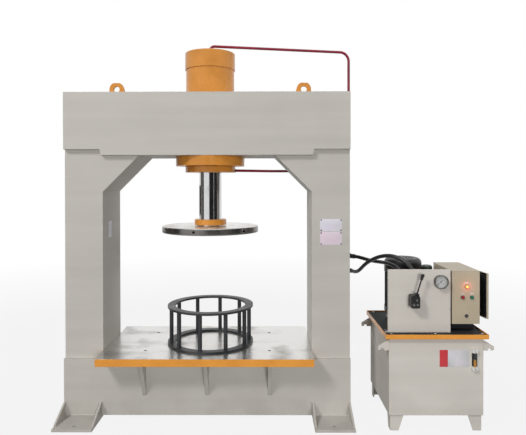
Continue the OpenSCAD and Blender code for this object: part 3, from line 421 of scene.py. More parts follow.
bed_steel = bed_finish()
# Pieces in platen steel and collar steel get painted shade on their rims.
platen_steel = turned_steel("platen_steel", "E0DEDA", "A39E97", 90.0, 0.75)
bright_steel = turned_steel("bright_steel", "C6C6C5", "8E8C88", 160.0)
collar_steel = turned_steel("collar_steel", "A8A8A5", "7C7A76", 160.0, 0.5)
case_steel = turned_steel("case_steel", "7E7D7A", "55534F", 160.0)
hard_chrome = chrome_plate()
print("steels made")

# %% [markdown]
# ## Plain paints, rubber and plastic
# The smaller pieces share one recipe: a colour with a little drift, a roughness that varies, a fine relief
# and softened edges. Only the colours and the scale of the relief change from one to the next.

# %% Small finishes
def coated(name, dark, light, rough, grain, relief, edge=0.0015):
    f = Finish(name)
    rounded = f.soft_edge(edge)
    drift = f.noise(9.0, 4.0)
    colour = f.blend(f.between(drift, 0.35, 0.65), paint(dark), paint(light))
    wear = f.edge_mask(rounded) * f.between(f.noise(60.0, 4.0), 0.5, 0.68)
    colour = f.blend(wear * 0.35, colour, paint("9B9994"))
    f.set(base_color=colour, roughness=f.between(drift, 0.3, 0.7, rough - 0.06, rough + 0.08))
    f.set(normal=f.bump(f.noise(grain, 2.0), relief, 0.5, rounded))
    return f.material


def beige_coat():
    f = Finish("box_powder_coat")
    rounded = f.soft_edge(0.002)
    drift = f.noise(4.0, 4.0)
    colour = f.blend(f.between(drift, 0.35, 0.65), paint("AFA38C"), paint("B9AD97"))
    # The lowest 60 mm of the box, its feet, are painted near-black: painted shade under the box.
    under = f.axis(f.place, 2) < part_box("electric_box")[0].z + 0.0595
    colour = f.blend(under, colour, paint("26262A"))
    f.set(base_color=colour, roughness=f.between(drift, 0.3, 0.7, 0.38, 0.5))
    f.set(normal=f.bump(f.noise(520.0, 2.0), 0.0003, 0.5, rounded))
    return f.material


def door_coat():
    f = Finish("door_coat")
    rounded = f.soft_edge(0.0015)
    drift = f.noise(4.0, 4.0)
    colour = f.blend(f.between(drift, 0.35, 0.65), paint("AFA38C"), paint("B9AD97"))
    # The door's inner face, facing -X, is painted near-black and made rougher.
    dark_inner_face = f.facing(0) < -0.5
    f.set(base_color=f.blend(dark_inner_face, colour, paint("1B1B1D")))
    f.set(roughness=f.between(drift, 0.3, 0.7, 0.38, 0.5) + dark_inner_face * 0.35)
    f.set(normal=f.bump(f.noise(520.0, 2.0), 0.0003, 0.5, rounded))
    return f.material


def lamp_lens():
    f = Finish("lit_lens")
    toward = f.node("ShaderNodeLayerWeight", {}, {"Blend": 0.35}, "Facing")
    f.set(base_color=paint("E2581C"), roughness=0.2)
    f.set(emission_color=f.blend(toward, paint("FFC262"), paint("FF2A0A")), emission_strength=1.7)
    return f.material


def clear_glass():
    f = Finish("gauge_window")
    smears = f.between(f.noise(12.0, 3.0), 0.4, 0.8, 0.10, 0.2)
    f.set(base_color=paint("EEF2F3"), roughness=0.06, alpha=smears)
    return f.material


crimson = coated("crimson_enamel", "70142A", "8A1D33", 0.45, 240.0, 0.0004)
satin_black = coated("satin_black", "1B1C1E", "2B2C2F", 0.42, 300.0, 0.0004)
motor_black = coated("motor_black", "0B0C0E", "141518", 0.4, 260.0, 0.0006)
fitting_black = coated("fitting_black", "141417", "26272A", 0.35, 300.0, 0.0002)
filter_green = coated("filter_green", "18261F", "22352B", 0.4, 200.0, 0.0003)
hose_rubber = coated("hose_rubber", "0C0D0F", "161719", 0.38, 700.0, 0.0006)
seal_rubber = coated("seal_rubber", "101010", "1A1A1A", 0.6, 400.0, 0.0002)
knob_plastic = coated("knob_plastic", "0C0C0D", "161618", 0.22, 300.0, 0.0001)
stop_red = coated("stop_red", "8E1820", "A62028", 0.25, 300.0, 0.0001)
start_green = coated("start_green", "0E6B52", "14805F", 0.25, 300.0, 0.0001)
needle_black = coated("needle_black", "0A0A0A", "141414", 0.4, 300.0, 0.0001)
beige = beige_coat()
door_dark_inside = door_coat()
lamp = lamp_lens()
glass = clear_glass()
print("small finishes made")

# %% [markdown]
# ## Giving every solid its finish
# Each solid wears one finish, so a table from finish to pieces is enough. The frame has many plates whose
# names start alike, and they are picked by those first words. The level gauge gets its finish further down,
# together with its oil.

# %% Give every solid its finish
FRAME_PLATES = ("base_", "foot_", "column_", "beam_", "lower_front", "lower_rear", "bed_ribs")
FINISHES = {
    frame_grey: [n for n in solids if n.startswith(FRAME_PLATES)],
    tank_grey: ["tank", "front_panel"],
    orange: ["lifting_lugs", "cylinder_barrel", "cylinder_end_cap", "cylinder_flange", "rod_gland",
             "rod_collar"],
    tray: ["tank_lid"],
    bed_steel: ["bed_plate"],
    platen_steel: ["platen", "piston", "pump", "valve_body", "motor_rotor"],
    collar_steel: ["button_collars"],
    case_steel: ["gauge_case"],
    hard_chrome: ["piston_rod"],
    crimson: ["upper_pipe", "lower_pipe"],
    satin_black: ["press_cage", "cylinder_screws"],
    motor_black: ["motor_body", "motor_cowl", "bell_housing", "valve_cap", "valve_lever"],
    fitting_black: ["pipe_fittings"],
    filter_green: ["return_filter"],
    seal_rubber: ["rod_seals", "piston_seals"],
    knob_plastic: ["lever_knob"],
    stop_red: ["stop_button"],
    start_green: ["start_button"],
    needle_black: ["gauge_needle"],
    beige: ["electric_box"],
    door_dark_inside: ["box_door"],
    lamp: ["signal_lamp"],
    glass: ["gauge_lens"],
}


def wear_finish(piece, material):
    piece.data.materials.clear()
    piece.data.materials.append(material)


for material, names in FINISHES.items():
    for name in names:
        wear_finish(solids[name], material)
for hose in hoses:
    wear_finish(hose, hose_rubber)
print("finishes given to", sum(len(names) for names in FINISHES.values()), "solids")

# %% [markdown]
# ## Small pieces: the helpers
# What is left is what a maker adds last: weld beads, screws, plates and the dial. Each is a bmesh built
# from a few operators, turned into an object that rides one body of the machine. Modelling them by hand
# would look the same, but a helper with two corners as its input keeps every piece tied to the solids it
# sits on.

# %% Helpers for small pieces
def new_piece(shape, name, body, material, smooth_deg=35):
    bmesh.ops.recalc_face_normals(shape, faces=shape.faces)
    mesh = bpy.data.meshes.new(name)
    shape.to_mesh(mesh)
    shape.free()
    mesh.shade_smooth()
    mesh.set_sharp_from_angle(angle=math.radians(smooth_deg))
    piece = bpy.data.objects.new(name, mesh)
    bpy.context.scene.collection.objects.link(piece)
    wear_finish(piece, material)
    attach(piece, body)
    return piece


def slab(shape, low, high, soft=0.0):
    """A block between two corners, with its edges rounded."""
    low, high = Vector(low), Vector(high)
    made = bmesh.ops.create_cube(shape, size=1.0)["verts"]
    bmesh.ops.scale(shape, vec=high - low, verts=made)
    bmesh.ops.translate(shape, vec=(low + high) / 2, verts=made)
    if soft:
        edges = list({e for v in made for e in v.link_edges})
        bmesh.ops.bevel(shape, geom=edges, offset=soft, segments=2, profile=0.5, affect="EDGES",
                        material=-1)


def bar(shape, start, end, radius, tip=None, sides=24):
    """A round bar or cone between two points; returns its vertices."""
    start, end = Vector(start), Vector(end)
    along = end - start
    made = bmesh.ops.create_cone(shape, cap_ends=True, segments=sides, radius1=radius,
                                 radius2=radius if tip is None else tip, depth=along.length)["verts"]
    turn = Vector((0, 0, 1)).rotation_difference(along).to_matrix()
    bmesh.ops.rotate(shape, matrix=turn, verts=made)
    bmesh.ops.translate(shape, vec=(start + end) / 2, verts=made)
    return made


def span(name):
    """The lowest and highest corner of a solid, as plain numbers."""
    low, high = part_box(name)
    return tuple(low), tuple(high)


print("helpers ready")

# %% [markdown]
# ## Weld beads
# The frame's plates are welded along every inside corner. A bead is a thin round bar laid in the corner,
# and its ripples come from dividing the bar along its length and making every second ring a little thinner.
# A bump map could draw the ripples too, but the bead's outline is what catches the light along a plate.

# %% Weld beads
RIPPLE = 0.005
THIN_RING = 0.78


def bead(shape, start, end, radius):
    start, end = Vector(start), Vector(end)
    length = (end - start).length
    made = bar(shape, start, end, radius, sides=6)
    rails = [e for e in {e for v in made for e in v.link_edges} if e.calc_length() > length * 0.99]
    rings = max(2, int(length / RIPPLE))
    bmesh.ops.subdivide_edges(shape, edges=rails, cuts=rings, use_grid_fill=True)
    along = (end - start) / length
    ring_gap = length / (rings + 1)
    for v in shape.verts:
        step = (v.co - start).dot(along)
        if round(step / ring_gap) % 2:
            axis_point = start + along * step
            v.co = axis_point + (v.co - axis_point) * THIN_RING


def bead_line(name, start, end, radius):
    shape = bmesh.new()
    bead(shape, start, end, radius)
    return new_piece(shape, name, "root", frame_grey, 80)


web_low, web_high = span("lower_front_plate")
base_low, base_high = span("base_plate_right")
COLUMN_IN, COLUMN_OUT = base_low[0], base_high[0]
COLUMN_FACE, WEB_FACE = -web_high[1], -web_low[1]
BASE_TOP, LEDGE, BEAM_END = base_high[2], span("bed_plate")[0][2], 2.040
PLATE_HALF, BEAM_INSET = 0.014, 0.018
GUSSET_RISE, GUSSET_REACH = 0.1, 0.470
RIB_PITCH, RIB_FOOT = 0.476, 0.175
BED_BEAD_IN, BED_BEAD_OUT = 0.01, 0.79
WIDE_BEAD, BEAD, FINE_BEAD = 0.007, 0.006, 0.004
beads = []
for side in (-1, 1):
    for face in (-1, 1):
        tag = ("left" if side < 0 else "right") + ("_front" if face < 0 else "_rear")
        inner, outer = side * COLUMN_IN, side * COLUMN_OUT
        column, web = face * COLUMN_FACE, face * WEB_FACE
        beads += [
            bead_line("ledge_bead_" + tag, (inner, column, LEDGE), (outer, column, LEDGE), WIDE_BEAD),
            bead_line("beam_bead_" + tag, (inner + side * BEAM_INSET, column, BEAM_END),
                      (outer, column, BEAM_END), BEAD),
            bead_line("foot_bead_" + tag, (inner, web, BASE_TOP), (outer, web, BASE_TOP), BEAD),
        ]
        for plate_x in (inner + side * PLATE_HALF, outer - side * PLATE_HALF):
            corner = (plate_x, web, BASE_TOP)
            beads.append(bead_line("gusset_bead_" + tag, corner,
                                   (plate_x, web, BASE_TOP + GUSSET_RISE), FINE_BEAD))
            beads.append(bead_line("gusset_base_bead_" + tag, corner,
                                   (plate_x, face * GUSSET_REACH, BASE_TOP), FINE_BEAD))
for face in (-1, 1):
    tag = "front" if face < 0 else "rear"
    web = face * WEB_FACE
    for rib_x in (-RIB_PITCH, 0.0, RIB_PITCH):
        for edge in (-PLATE_HALF, PLATE_HALF):
            beads.append(bead_line("rib_bead_" + tag, (rib_x + edge, web, RIB_FOOT),
                                   (rib_x + edge, web, LEDGE), FINE_BEAD))
    for side in (-1, 1):
        beads.append(bead_line("bed_bead_" + tag, (side * BED_BEAD_IN, web, LEDGE),
                               (side * BED_BEAD_OUT, web, LEDGE), FINE_BEAD))
print("weld beads:", len(beads))

# %% [markdown]
# ## Beads on the round pieces
# The press cage's bars are welded into its rings, and each weld is a small collar. A circle turned about
# the bar's axis makes it: the spin operator sweeps a short arc of points, so the collar is smooth where a
# straight bead has ripples. The lifting lugs get straight beads along their feet, in the lugs' own orange.

# %% Collars on the cage and beads on the lugs
ARC_STEPS, COLLAR_SINK = 6, 0.001


def weld_collar(shape, centre, radius, thick):
    made = []
    for step in range(ARC_STEPS + 1):
        angle = math.pi * step / ARC_STEPS
        out = radius - COLLAR_SINK + thick * math.sin(angle)
        made.append(shape.verts.new(Vector(centre) + Vector((out, 0, thick * math.cos(angle)))))
    arc = [shape.edges.new(pair) for pair in zip(made, made[1:])]
    bmesh.ops.spin(shape, geom=made + arc, cent=centre, axis=(0, 0, 1), angle=math.tau, steps=20,
                   use_merge=True)


cage_low, cage_high = span("press_cage")
CAGE_RING_T, CAGE_BAR_R, CAGE_BARS = 0.016, 0.016, 10
CAGE_BAR_IN, CAGE_TURN, COLLAR_T = 0.030, 0.25, 0.004
bar_circle = cage_high[0] - CAGE_BAR_IN
shape = bmesh.new()
for i in range(CAGE_BARS):
    turn = math.tau * (i + CAGE_TURN) / CAGE_BARS
    x, y = bar_circle * math.cos(turn), bar_circle * math.sin(turn)
    for level in (cage_low[2] + CAGE_RING_T, cage_high[2] - CAGE_RING_T):
        weld_collar(shape, (x, y, level), CAGE_BAR_R, COLLAR_T)
new_piece(shape, "cage_welds", "root", satin_black, 60)

lug_low, lug_high = span("lifting_lugs")
LUG_IN, LUG_OUT = 0.678, 0.813
for side in (-1, 1):
    for face in (lug_low[1], lug_high[1]):
        shape = bmesh.new()
        bead(shape, (side * LUG_IN, face, lug_low[2]), (side * LUG_OUT, face, lug_low[2]), BEAD)
        new_piece(shape, "lug_bead", "root", orange, 80)
print("collars and lug beads made")

# %% [markdown]
# ## Bare plates
# The right column carries two thin metal plates held by rivets, the left one a small plate on its inner
# side, and the tank a plate in two tones. All are blank, so each is a thin slab with softened edges and a
# finish of its own. A picture could be mapped onto each, but plain colour is all that they need.

# %% Bare plates and their rivets
def tinted_metal(name, tint, rough, metallic):
    f = Finish(name)
    drift = f.noise(7.0, 4.0)
    brushed = f.noise(60.0, 2.0, f.stretched((0.2, 1.0, 8.0)))
    f.set(base_color=f.blend(f.between(drift, 0.3, 0.7), paint(tint), paint("D9D6DB")))
    f.set(roughness=f.between(brushed, 0.3, 0.7, rough - 0.05, rough + 0.08), metallic=metallic)
    return f.material


plate_white = tinted_metal("plate_white", "DDD8E6", 0.35, 0.15)
plate_pink = tinted_metal("plate_pink", "DFCBD8", 0.35, 0.15)
plate_grey = tinted_metal("plate_grey", "B9BABB", 0.4, 0.1)
plate_red = coated("plate_red", "C0353C", "CB4047", 0.4, 200.0, 0.0001)
PLATE_T, PLATE_SOFT, RIVET_R, RIVET_H = 0.0012, 0.0004, 0.0055, 0.002


def bare_plate(name, face_y, x_range, z_range, material, inset=0.008):
    shape = bmesh.new()
    slab(shape, (x_range[0], face_y - PLATE_T, z_range[0]), (x_range[1], face_y, z_range[1]), PLATE_SOFT)
    new_piece(shape, name, "root", material)
    if inset:
        shape = bmesh.new()
        seat = face_y - PLATE_T
        for x in (x_range[0] + inset, x_range[1] - inset):
            for z in (z_range[0] + inset, z_range[1] - inset):
                bar(shape, (x, seat, z), (x, seat - RIVET_H, z), RIVET_R, RIVET_R * 0.5)
        new_piece(shape, name + "_rivets", "root", fitting_black)


COLUMN_PLATE_X, TANK_PLATE_Z, TANK_FACE = (0.863, 1.031), (0.462, 0.583), -0.491
bare_plate("column_plate_upper", -COLUMN_FACE, COLUMN_PLATE_X, (1.412, 1.507), plate_white)
bare_plate("column_plate_lower", -COLUMN_FACE, COLUMN_PLATE_X, (1.308, 1.408), plate_pink)
bare_plate("tank_plate_red", TANK_FACE, (1.693, 1.752), TANK_PLATE_Z, plate_red, 0)
bare_plate("tank_plate_grey", TANK_FACE, (1.752, 1.905), TANK_PLATE_Z, plate_grey, 0)
shape = bmesh.new()
slab(shape, (-COLUMN_IN, -0.095, 1.350), (-COLUMN_IN + PLATE_T, -0.010, 1.480), PLATE_SOFT)
new_piece(shape, "column_side_plate", "root", plate_grey)
print("bare plates fitted")

# %% [markdown]
# ## The pressure gauge's dial
# The dial is a white disc behind the glass with a scale of marks over three quarters of a turn and plain
# figures. The marks are thin bars turned about the gauge's middle. Figures are text objects: Blender's own
# letters need no texture and stay sharp however close the camera comes. They are made a mesh, and then put
# in place.

# %% Dial, marks and figures
dial_white = coated("dial_white", "B4B4B1", "C2C1BE", 0.5, 200.0, 0.0001)
ink = coated("ink", "101010", "181818", 0.5, 200.0, 0.0001)
case_low, case_high = span("gauge_case")
DIAL = Vector(((case_low[0] + case_high[0]) / 2, -0.435, (case_low[2] + case_high[2]) / 2))
DIAL_R, DIAL_T, SCALE_R = 0.0455, 0.0008, 0.040
MARK_LIFT, FIGURE_LIFT, FIGURE_IN, FIGURE_SIZE = 0.0009, 0.0011, 0.015, 0.010
SCALE_START, SCALE_SWEEP, SCALE_STEPS = math.radians(225), math.radians(270), 40


def on_dial(angle, radius, lift=0.0):
    return DIAL + Vector((radius * math.cos(angle), -lift, radius * math.sin(angle)))


shape = bmesh.new()
bar(shape, DIAL, DIAL - Vector((0, DIAL_T, 0)), DIAL_R, sides=64)
new_piece(shape, "dial_face", "root", dial_white)
shape = bmesh.new()
for step in range(SCALE_STEPS + 1):
    angle = SCALE_START - SCALE_SWEEP * step / SCALE_STEPS
    length, thick = (0.008, 0.0007) if step % 5 == 0 else (0.004, 0.0004)
    inner, outer = (on_dial(angle, radius, MARK_LIFT) for radius in (SCALE_R - length, SCALE_R))
    bar(shape, inner, outer, thick, sides=8)
new_piece(shape, "dial_marks", "root", ink)
for step in range(0, SCALE_STEPS + 1, 10):
    angle = SCALE_START - SCALE_SWEEP * step / SCALE_STEPS
    words = bpy.data.curves.new("figure", "FONT")
    words.body = str(step)
    words.size = FIGURE_SIZE
    words.align_x = "CENTER"
    words.align_y = "CENTER"
    words.extrude = 0.0002
    text = bpy.data.objects.new("figure", words)
    mesh = bpy.data.meshes.new_from_object(text)
    bpy.data.objects.remove(text)
    upright = Matrix.Rotation(math.radians(90), 4, "X")
    mesh.transform(Matrix.Translation(on_dial(angle, SCALE_R - FIGURE_IN, FIGURE_LIFT)) @ upright)
    figure = bpy.data.objects.new("dial_figure", mesh)
    bpy.context.scene.collection.objects.link(figure)
    wear_finish(figure, ink)
    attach(figure, "root")
print("dial marks:", SCALE_STEPS + 1)

# %% [markdown]
# ## Fittings on the hand valve and the box
# The valve's black cap is held by four screws and has two bright plugs low down and a small bright tab
# above. The box's lamp and buttons each have a blank strip over them, and the cable hole has a rubber lip
# with a dark disc behind it: painted shade inside the box.
# These are all turned or square pieces, so bars and slabs are enough.

# %% Valve screws, plugs and strips
def screw_head(shape, centre, radius, height):
    """A slightly tapered screw head that faces the operator."""
    centre = Vector(centre)
    bar(shape, centre, centre - Vector((0, height, 0)), radius, radius * 0.92)


cap_low, cap_high = span("valve_cap")
CAP_X, CAP_FACE, CAP_Z = (cap_low[0] + cap_high[0]) / 2, cap_low[1], cap_low[2] + 0.045
SCREW_X, SCREW_Z, SCREW_R = 0.023, 0.035, 0.005
PLUG_DOWN, PLUG_H, PLUG_HEX_H = 0.019, 0.006, 0.005
shape = bmesh.new()
for dx in (-SCREW_X, SCREW_X):
    for dz in (-SCREW_Z, SCREW_Z):
        screw_head(shape, (CAP_X + dx, CAP_FACE, CAP_Z + dz), SCREW_R, 0.005)
new_piece(shape, "valve_screws", "root", fitting_black)
shape = bmesh.new()
for dx, radius in ((-0.014, 0.0105), (0.013, 0.009)):
    x, z, front = CAP_X + dx, CAP_Z - PLUG_DOWN, CAP_FACE - PLUG_H
    screw_head(shape, (x, CAP_FACE, z), radius, PLUG_H)
    bar(shape, (x, front, z), (x, front - PLUG_HEX_H, z), radius * 0.6, sides=6)
slab(shape, (CAP_X + 0.004, CAP_FACE - 0.002, CAP_Z + 0.006),
     (CAP_X + 0.015, CAP_FACE, CAP_Z + 0.022), 0.0008)
new_piece(shape, "valve_plugs", "root", collar_steel)

box_low = span("electric_box")[0]
BOX_FACE = box_low[1]
STRIP_HALF_H, STRIP_T = 0.004, 0.001
shape = bmesh.new()
for x, z, half in ((1.916, 1.051, 0.017), (1.886, 0.972, 0.013), (1.953, 0.972, 0.013)):
    slab(shape, (x - half, BOX_FACE - STRIP_T, z - STRIP_HALF_H),
         (x + half, BOX_FACE, z + STRIP_HALF_H), 0.0003)
new_piece(shape, "blank_strips", "root", plate_grey)
CABLE_X, CABLE_Z, LIP_R, LIP_T, LIP_STEPS = 1.914, 0.808, 0.0105, 0.003, 28
shape = bmesh.new()
for step in range(LIP_STEPS):
    turns = [math.tau * i / LIP_STEPS for i in (step, step + 1)]
    ends = [(CABLE_X + LIP_R * math.cos(t), BOX_FACE - 0.0005, CABLE_Z + LIP_R * math.sin(t)) for t in turns]
    bar(shape, *ends, LIP_T, sides=8)
# A dark disc just inside the box closes the hole: painted shade inside the box.
bar(shape, (CABLE_X, BOX_FACE + 0.002, CABLE_Z), (CABLE_X, BOX_FACE + 0.003, CABLE_Z), 0.0095)
new_piece(shape, "cable_lip_and_shade_disc", "root", seal_rubber)
print("valve and box fittings made")

# %% [markdown]
# ## The level gauge and the tray's fasteners
# The oil level shows in a clear tube with amber oil in its lower half, behind a pale guard. The tray is
# screwed down through its floor, and the front panel's foot is held the same way. Fillings and six-sided
# heads are bars again, since an operator makes each in one step.

# %% Level gauge and tray screws
amber = coated("amber_oil", "9A6A22", "B07C2C", 0.15, 200.0, 0.0001)
guard_white = coated("guard_white", "D6D4CE", "E0DED8", 0.35, 300.0, 0.0002)
wear_finish(solids["level_gauge"], guard_white)
LEVEL_X, LEVEL_Z = 1.940, 0.516
TUBE_Y, TUBE_R, TUBE_HALF = TANK_FACE - 0.016, 0.0096, 0.0495
SHADE_HALF_W, SHADE_HALF_H = 0.020, 0.048
BOLT_RISE, BOLT_R = 0.0635, 0.009


def in_tube(shape, low, high):
    """A round filling of the level tube between two heights from its middle."""
    bar(shape, (LEVEL_X, TUBE_Y, LEVEL_Z + low), (LEVEL_X, TUBE_Y, LEVEL_Z + high), TUBE_R)


shape = bmesh.new()
in_tube(shape, -TUBE_HALF, 0.002)
new_piece(shape, "oil_in_tube", "root", amber)
shape = bmesh.new()
in_tube(shape, 0.003, TUBE_HALF)
slab(shape, (LEVEL_X - SHADE_HALF_W, TANK_FACE - 0.0085, LEVEL_Z - SHADE_HALF_H),
     (LEVEL_X + SHADE_HALF_W, TANK_FACE - 0.0078, LEVEL_Z + SHADE_HALF_H))
new_piece(shape, "tube_shadow", "root", satin_black)
shape = bmesh.new()
for level in (LEVEL_Z - BOLT_RISE, LEVEL_Z + BOLT_RISE):
    bar(shape, (LEVEL_X, TANK_FACE - 0.024, level), (LEVEL_X, TANK_FACE - 0.0285, level), BOLT_R, sides=6)
new_piece(shape, "level_bolts", "root", bright_steel)

tray_low, tray_high = span("tank_lid")
TRAY_FLOOR, TRAY_SCREW_IN, TRAY_SCREW_R, TRAY_SCREW_H = 0.690, 0.045, 0.0095, 0.0075
PANEL_SCREW_X, PANEL_SCREW_R = 1.329, 0.006
shape = bmesh.new()
for x in (tray_low[0] + 0.05, (tray_low[0] + tray_high[0]) / 2, tray_high[0] - 0.03):
    for y in (tray_low[1] + TRAY_SCREW_IN, tray_high[1] - TRAY_SCREW_IN):
        bar(shape, (x, y, TRAY_FLOOR), (x, y, TRAY_FLOOR + TRAY_SCREW_H), TRAY_SCREW_R, sides=6)
for y in (-0.41, -0.38):
    bar(shape, (PANEL_SCREW_X, y, TRAY_FLOOR + 0.003), (PANEL_SCREW_X, y, TRAY_FLOOR + 0.008),
        PANEL_SCREW_R, sides=6)
new_piece(shape, "tray_screws", "root", bright_steel)
print("level gauge and screws made")

# %% [markdown]
# ## Switchgear in the electric box
# Behind the door a sheet carries the motor's switchgear: a rail with a breaker, a contactor and a thermal
# relay, a row of terminals under it, and wires between them. The blocks are plain, because only their
# outlines show when the door is open. The wires are short bars that follow the wiring duct's lines, as an
# electrician lays them.

# %% Switchgear
SHEET_X = box_low[0] + 0.006
grey_case = coated("grey_case", "6B6C6C", "777878", 0.45, 300.0, 0.0002)
duct_grey = coated("duct_grey", "A4A5A3", "AEAFAD", 0.5, 200.0, 0.0002)
wire_black = coated("wire_black", "141416", "1D1D20", 0.45, 300.0, 0.0002)


def gear(name, material, blocks, soft=0.0015):
    """Blocks on the mounting sheet, each as a Y range, a Z range and a depth range from the sheet."""
    shape = bmesh.new()
    for (y_low, y_high), (z_low, z_high), (near, far) in blocks:
        slab(shape, (SHEET_X + near, y_low, z_low), (SHEET_X + far, y_high, z_high), soft)
    return new_piece(shape, name, "root", material)


SHEET_T, RAIL_TOP, DUCT_TOP = 0.002, 0.009, 0.042
RAIL_Y, RELAY_Y = (-0.350, -0.050), (-0.250, -0.200)
gear("mounting_sheet", plate_grey, [((-0.370, -0.030), (0.790, 1.110), (0.0, SHEET_T))])
gear("gear_rails", bright_steel, [
    (RAIL_Y, (1.012, 1.024), (SHEET_T, RAIL_TOP)),
    (RAIL_Y, (0.862, 0.874), (SHEET_T, RAIL_TOP))], 0.0005)
gear("breaker", grey_case, [
    ((-0.340, -0.286), (0.975, 1.062), (RAIL_TOP, 0.066)),
    ((-0.322, -0.304), (1.008, 1.030), (0.066, 0.078))])
gear("contactor", wire_black, [
    (RELAY_Y, (0.980, 1.058), (RAIL_TOP, 0.080)),
    ((-0.244, -0.206), (1.000, 1.038), (0.080, 0.088))])
gear("thermal_relay", grey_case, [(RELAY_Y, (0.922, 0.978), (RAIL_TOP, 0.074))])
gear("terminals", duct_grey, [
    ((-0.330 + 0.012 * i, -0.320 + 0.012 * i), (0.842, 0.894), (RAIL_TOP, 0.050)) for i in range(16)], 0.0006)
gear("wire_ducts", duct_grey, [
    ((-0.360, -0.040), (1.076, 1.100), (SHEET_T, DUCT_TOP)),
    ((-0.080, -0.052), (0.910, 1.074), (SHEET_T, DUCT_TOP))])
WIRE_R = 0.0022
shape = bmesh.new()
for i in range(3):
    y = -0.240 + 0.015 * i
    for lift, across, z_from, z_to in (
        (0.030, 0.0, 0.922, 0.892), (0.034, 0.0, 1.058, 1.077), (0.034, -0.088, 1.060, 1.077),
    ):
        x = SHEET_X + lift
        bar(shape, (x, y + across, z_from), (x, y + across, z_to), WIRE_R, sides=8)
new_piece(shape, "gear_wires", "root", wire_black)
print("switchgear fitted")

# %% [markdown]
# ## The studio
# The machine stands on a white floor that fades into a white backdrop but keeps a soft shadow. The floor is
# white only to the camera and in reflections, so it throws little light back. Polished steel shows only
# what it reflects, so dark cards stand round the machine where only reflections see them, with gaps between
# them: a gap is the bright streak down the rod.

# %% Floor and backdrop
def stage_plane(name, width, depth, place, tip_deg, turn_deg, material):
    mesh = bpy.data.meshes.new(name)
    shape = bmesh.new()
    bmesh.ops.create_grid(shape, x_segments=1, y_segments=1, size=0.5)
    bmesh.ops.scale(shape, vec=(width, depth, 1.0), verts=shape.verts)
    for angle, axis in ((tip_deg, "X"), (turn_deg, "Z")):
        turn = Matrix.Rotation(math.radians(angle), 3, axis)
        bmesh.ops.rotate(shape, matrix=turn, verts=shape.verts)
    bmesh.ops.translate(shape, vec=place, verts=shape.verts)
    shape.to_mesh(mesh)
    shape.free()
    piece = bpy.data.objects.new(name, mesh)
    bpy.context.scene.collection.objects.link(piece)
    wear_finish(piece, material)
    piece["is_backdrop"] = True
    return piece


FLOOR_GLOW = 0.88
FADE_FROM, FADE_TO = 3.5, 9.0


def white_floor():
    f = Finish("studio_floor")
    f.set(base_color=f.blend(f.noise(2.0, 3.0), paint("686866"), paint("6E6E6C")), roughness=0.9)
    away = f.node("ShaderNodeVectorMath", {"operation": "LENGTH"}, {0: f.place}, "Value")
    white = f.between(away, FADE_FROM, FADE_TO, FLOOR_GLOW, 1.0)
    camera_ray, glossy_ray, through_ray = (
        f.node("ShaderNodeLightPath", {}, {}, f"Is {kind} Ray")
        for kind in ("Camera", "Glossy", "Transmission"))
    seen = f.larger(camera_ray, f.larger(glossy_ray, through_ray))
    glow = f.node("ShaderNodeEmission", {}, {"Color": (1.0, 1.0, 1.0, 1.0), "Strength": 1.0})
    lit = Wire(f, f.shader.outputs[0])
    both = f.node("ShaderNodeMixShader", {}, {0: seen * white, 1: lit, 2: glow})
    f.tree.links.new(both.socket, f.tree.nodes["Material Output"].inputs["Surface"])
    return f.material


def dark_card():
    f = Finish("dark_card")
    f.set(base_color=paint("1C1C1D"), roughness=0.9)
    return f.material


stage_plane("floor", 80.0, 80.0, (0.0, 0.0, -0.001), 0, 0, white_floor())
card = dark_card()
for name, width, height, place, turn in (
    ("card_front", 7.0, 3.6, (2.6, -7.6, 1.6), 0),
    ("card_right", 6.0, 3.6, (6.8, -3.6, 1.6), 62),
    ("card_left", 4.5, 3.6, (-6.6, -0.6, 1.6), -80),
    ("card_rear", 5.5, 0.6, (-4.2, 4.4, 1.45), 45),
):
    piece = stage_plane(name, width, height, place, 90, turn, card)
    piece.visible_camera = False
    piece.visible_diffuse = False
    piece.visible_shadow = False
print("floor and cards set")

# %% [markdown]
# ## Light
# The world is white to the camera and in reflections, and only a weak light to everything else. A high lamp
# at the front left models the shapes, a low one in front fills the shadows, one behind and one on the right
# keep the other sides readable, and one overhead lights the bed. Only the first and the last are seen in
# reflections, since the others would wash out the flat plates. A tiny orange light sits before the signal
# lamp and tints the box.

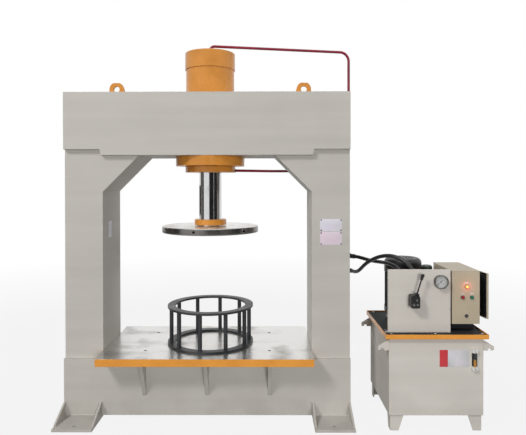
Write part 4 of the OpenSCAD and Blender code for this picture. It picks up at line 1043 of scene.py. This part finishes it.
# %% World and lamps
WORLD_LIGHT = 0.17
world = bpy.data.worlds.new("studio")
bpy.context.scene.world = world
world.use_nodes = True
sky = world.node_tree
path = sky.nodes.new("ShaderNodeLightPath")
seen = path.outputs["Is Camera Ray"]
for kind in ("Is Glossy Ray", "Is Transmission Ray"):
    either = sky.nodes.new("ShaderNodeMath")
    either.operation = "MAXIMUM"
    sky.links.new(seen, either.inputs[0])
    sky.links.new(path.outputs[kind], either.inputs[1])
    seen = either.outputs[0]
level = sky.nodes.new("ShaderNodeMapRange")
level.inputs["To Min"].default_value = WORLD_LIGHT
level.inputs["To Max"].default_value = 1.0
sky.links.new(seen, level.inputs["Value"])
sky.links.new(level.outputs[0], sky.nodes["Background"].inputs["Strength"])
sky.nodes["Background"].inputs["Color"].default_value = (1.0, 1.0, 1.0, 1.0)

LAMPS = {
    "key": ((-7.5, -9.0, 11.0), (0.3, 0.0, 1.0), 3.0, 1120.0),
    "fill": ((2.8, -13.0, 2.4), (1.4, 0.0, 0.7), 4.0, 790.0),
    "rear": ((-4.5, 12.0, 6.0), (0.5, 0.0, 1.1), 4.0, 420.0),
    "side": ((12.0, 1.0, 4.0), (1.0, 0.0, 1.0), 3.0, 320.0),
    "top": ((0.4, -0.8, 6.5), (0.4, 0.0, 0.0), 3.5, 45.0),
}
SEEN_IN_STEEL = ("key", "top")
for name, (place, aim, size, power) in LAMPS.items():
    data = bpy.data.lights.new(name, "AREA")
    data.size = size
    data.energy = power
    light = bpy.data.objects.new(name, data)
    light.location = place
    light.rotation_euler = (Vector(aim) - Vector(place)).to_track_quat("-Z", "Y").to_euler()
    light.visible_glossy = name in SEEN_IN_STEEL
    bpy.context.scene.collection.objects.link(light)

glow = bpy.data.lights.new("lamp_glow", "POINT")
glow.energy = 0.06
glow.color = (1.0, 0.14, 0.05)
glow.shadow_soft_size = 0.004
glow_light = bpy.data.objects.new("lamp_glow", glow)
glow_low, glow_high = span("signal_lamp")
GLOW_GAP = 0.012
glow_light.location = (
    (glow_low[0] + glow_high[0]) / 2, glow_low[1] - GLOW_GAP, (glow_low[2] + glow_high[2]) / 2)
bpy.context.scene.collection.objects.link(glow_light)
bpy.context.scene.view_settings.view_transform = "Standard"
print("studio lit by", len(LAMPS), "lamps")

# %% [markdown]
# ## The sizes
# The box round the solids and the box round the dressed machine are both worked out and kept side by side.

# %% Gather the sizes
size = {"cad": [list(corner) for corner in cad_box], "visual": [list(corner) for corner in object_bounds()]}
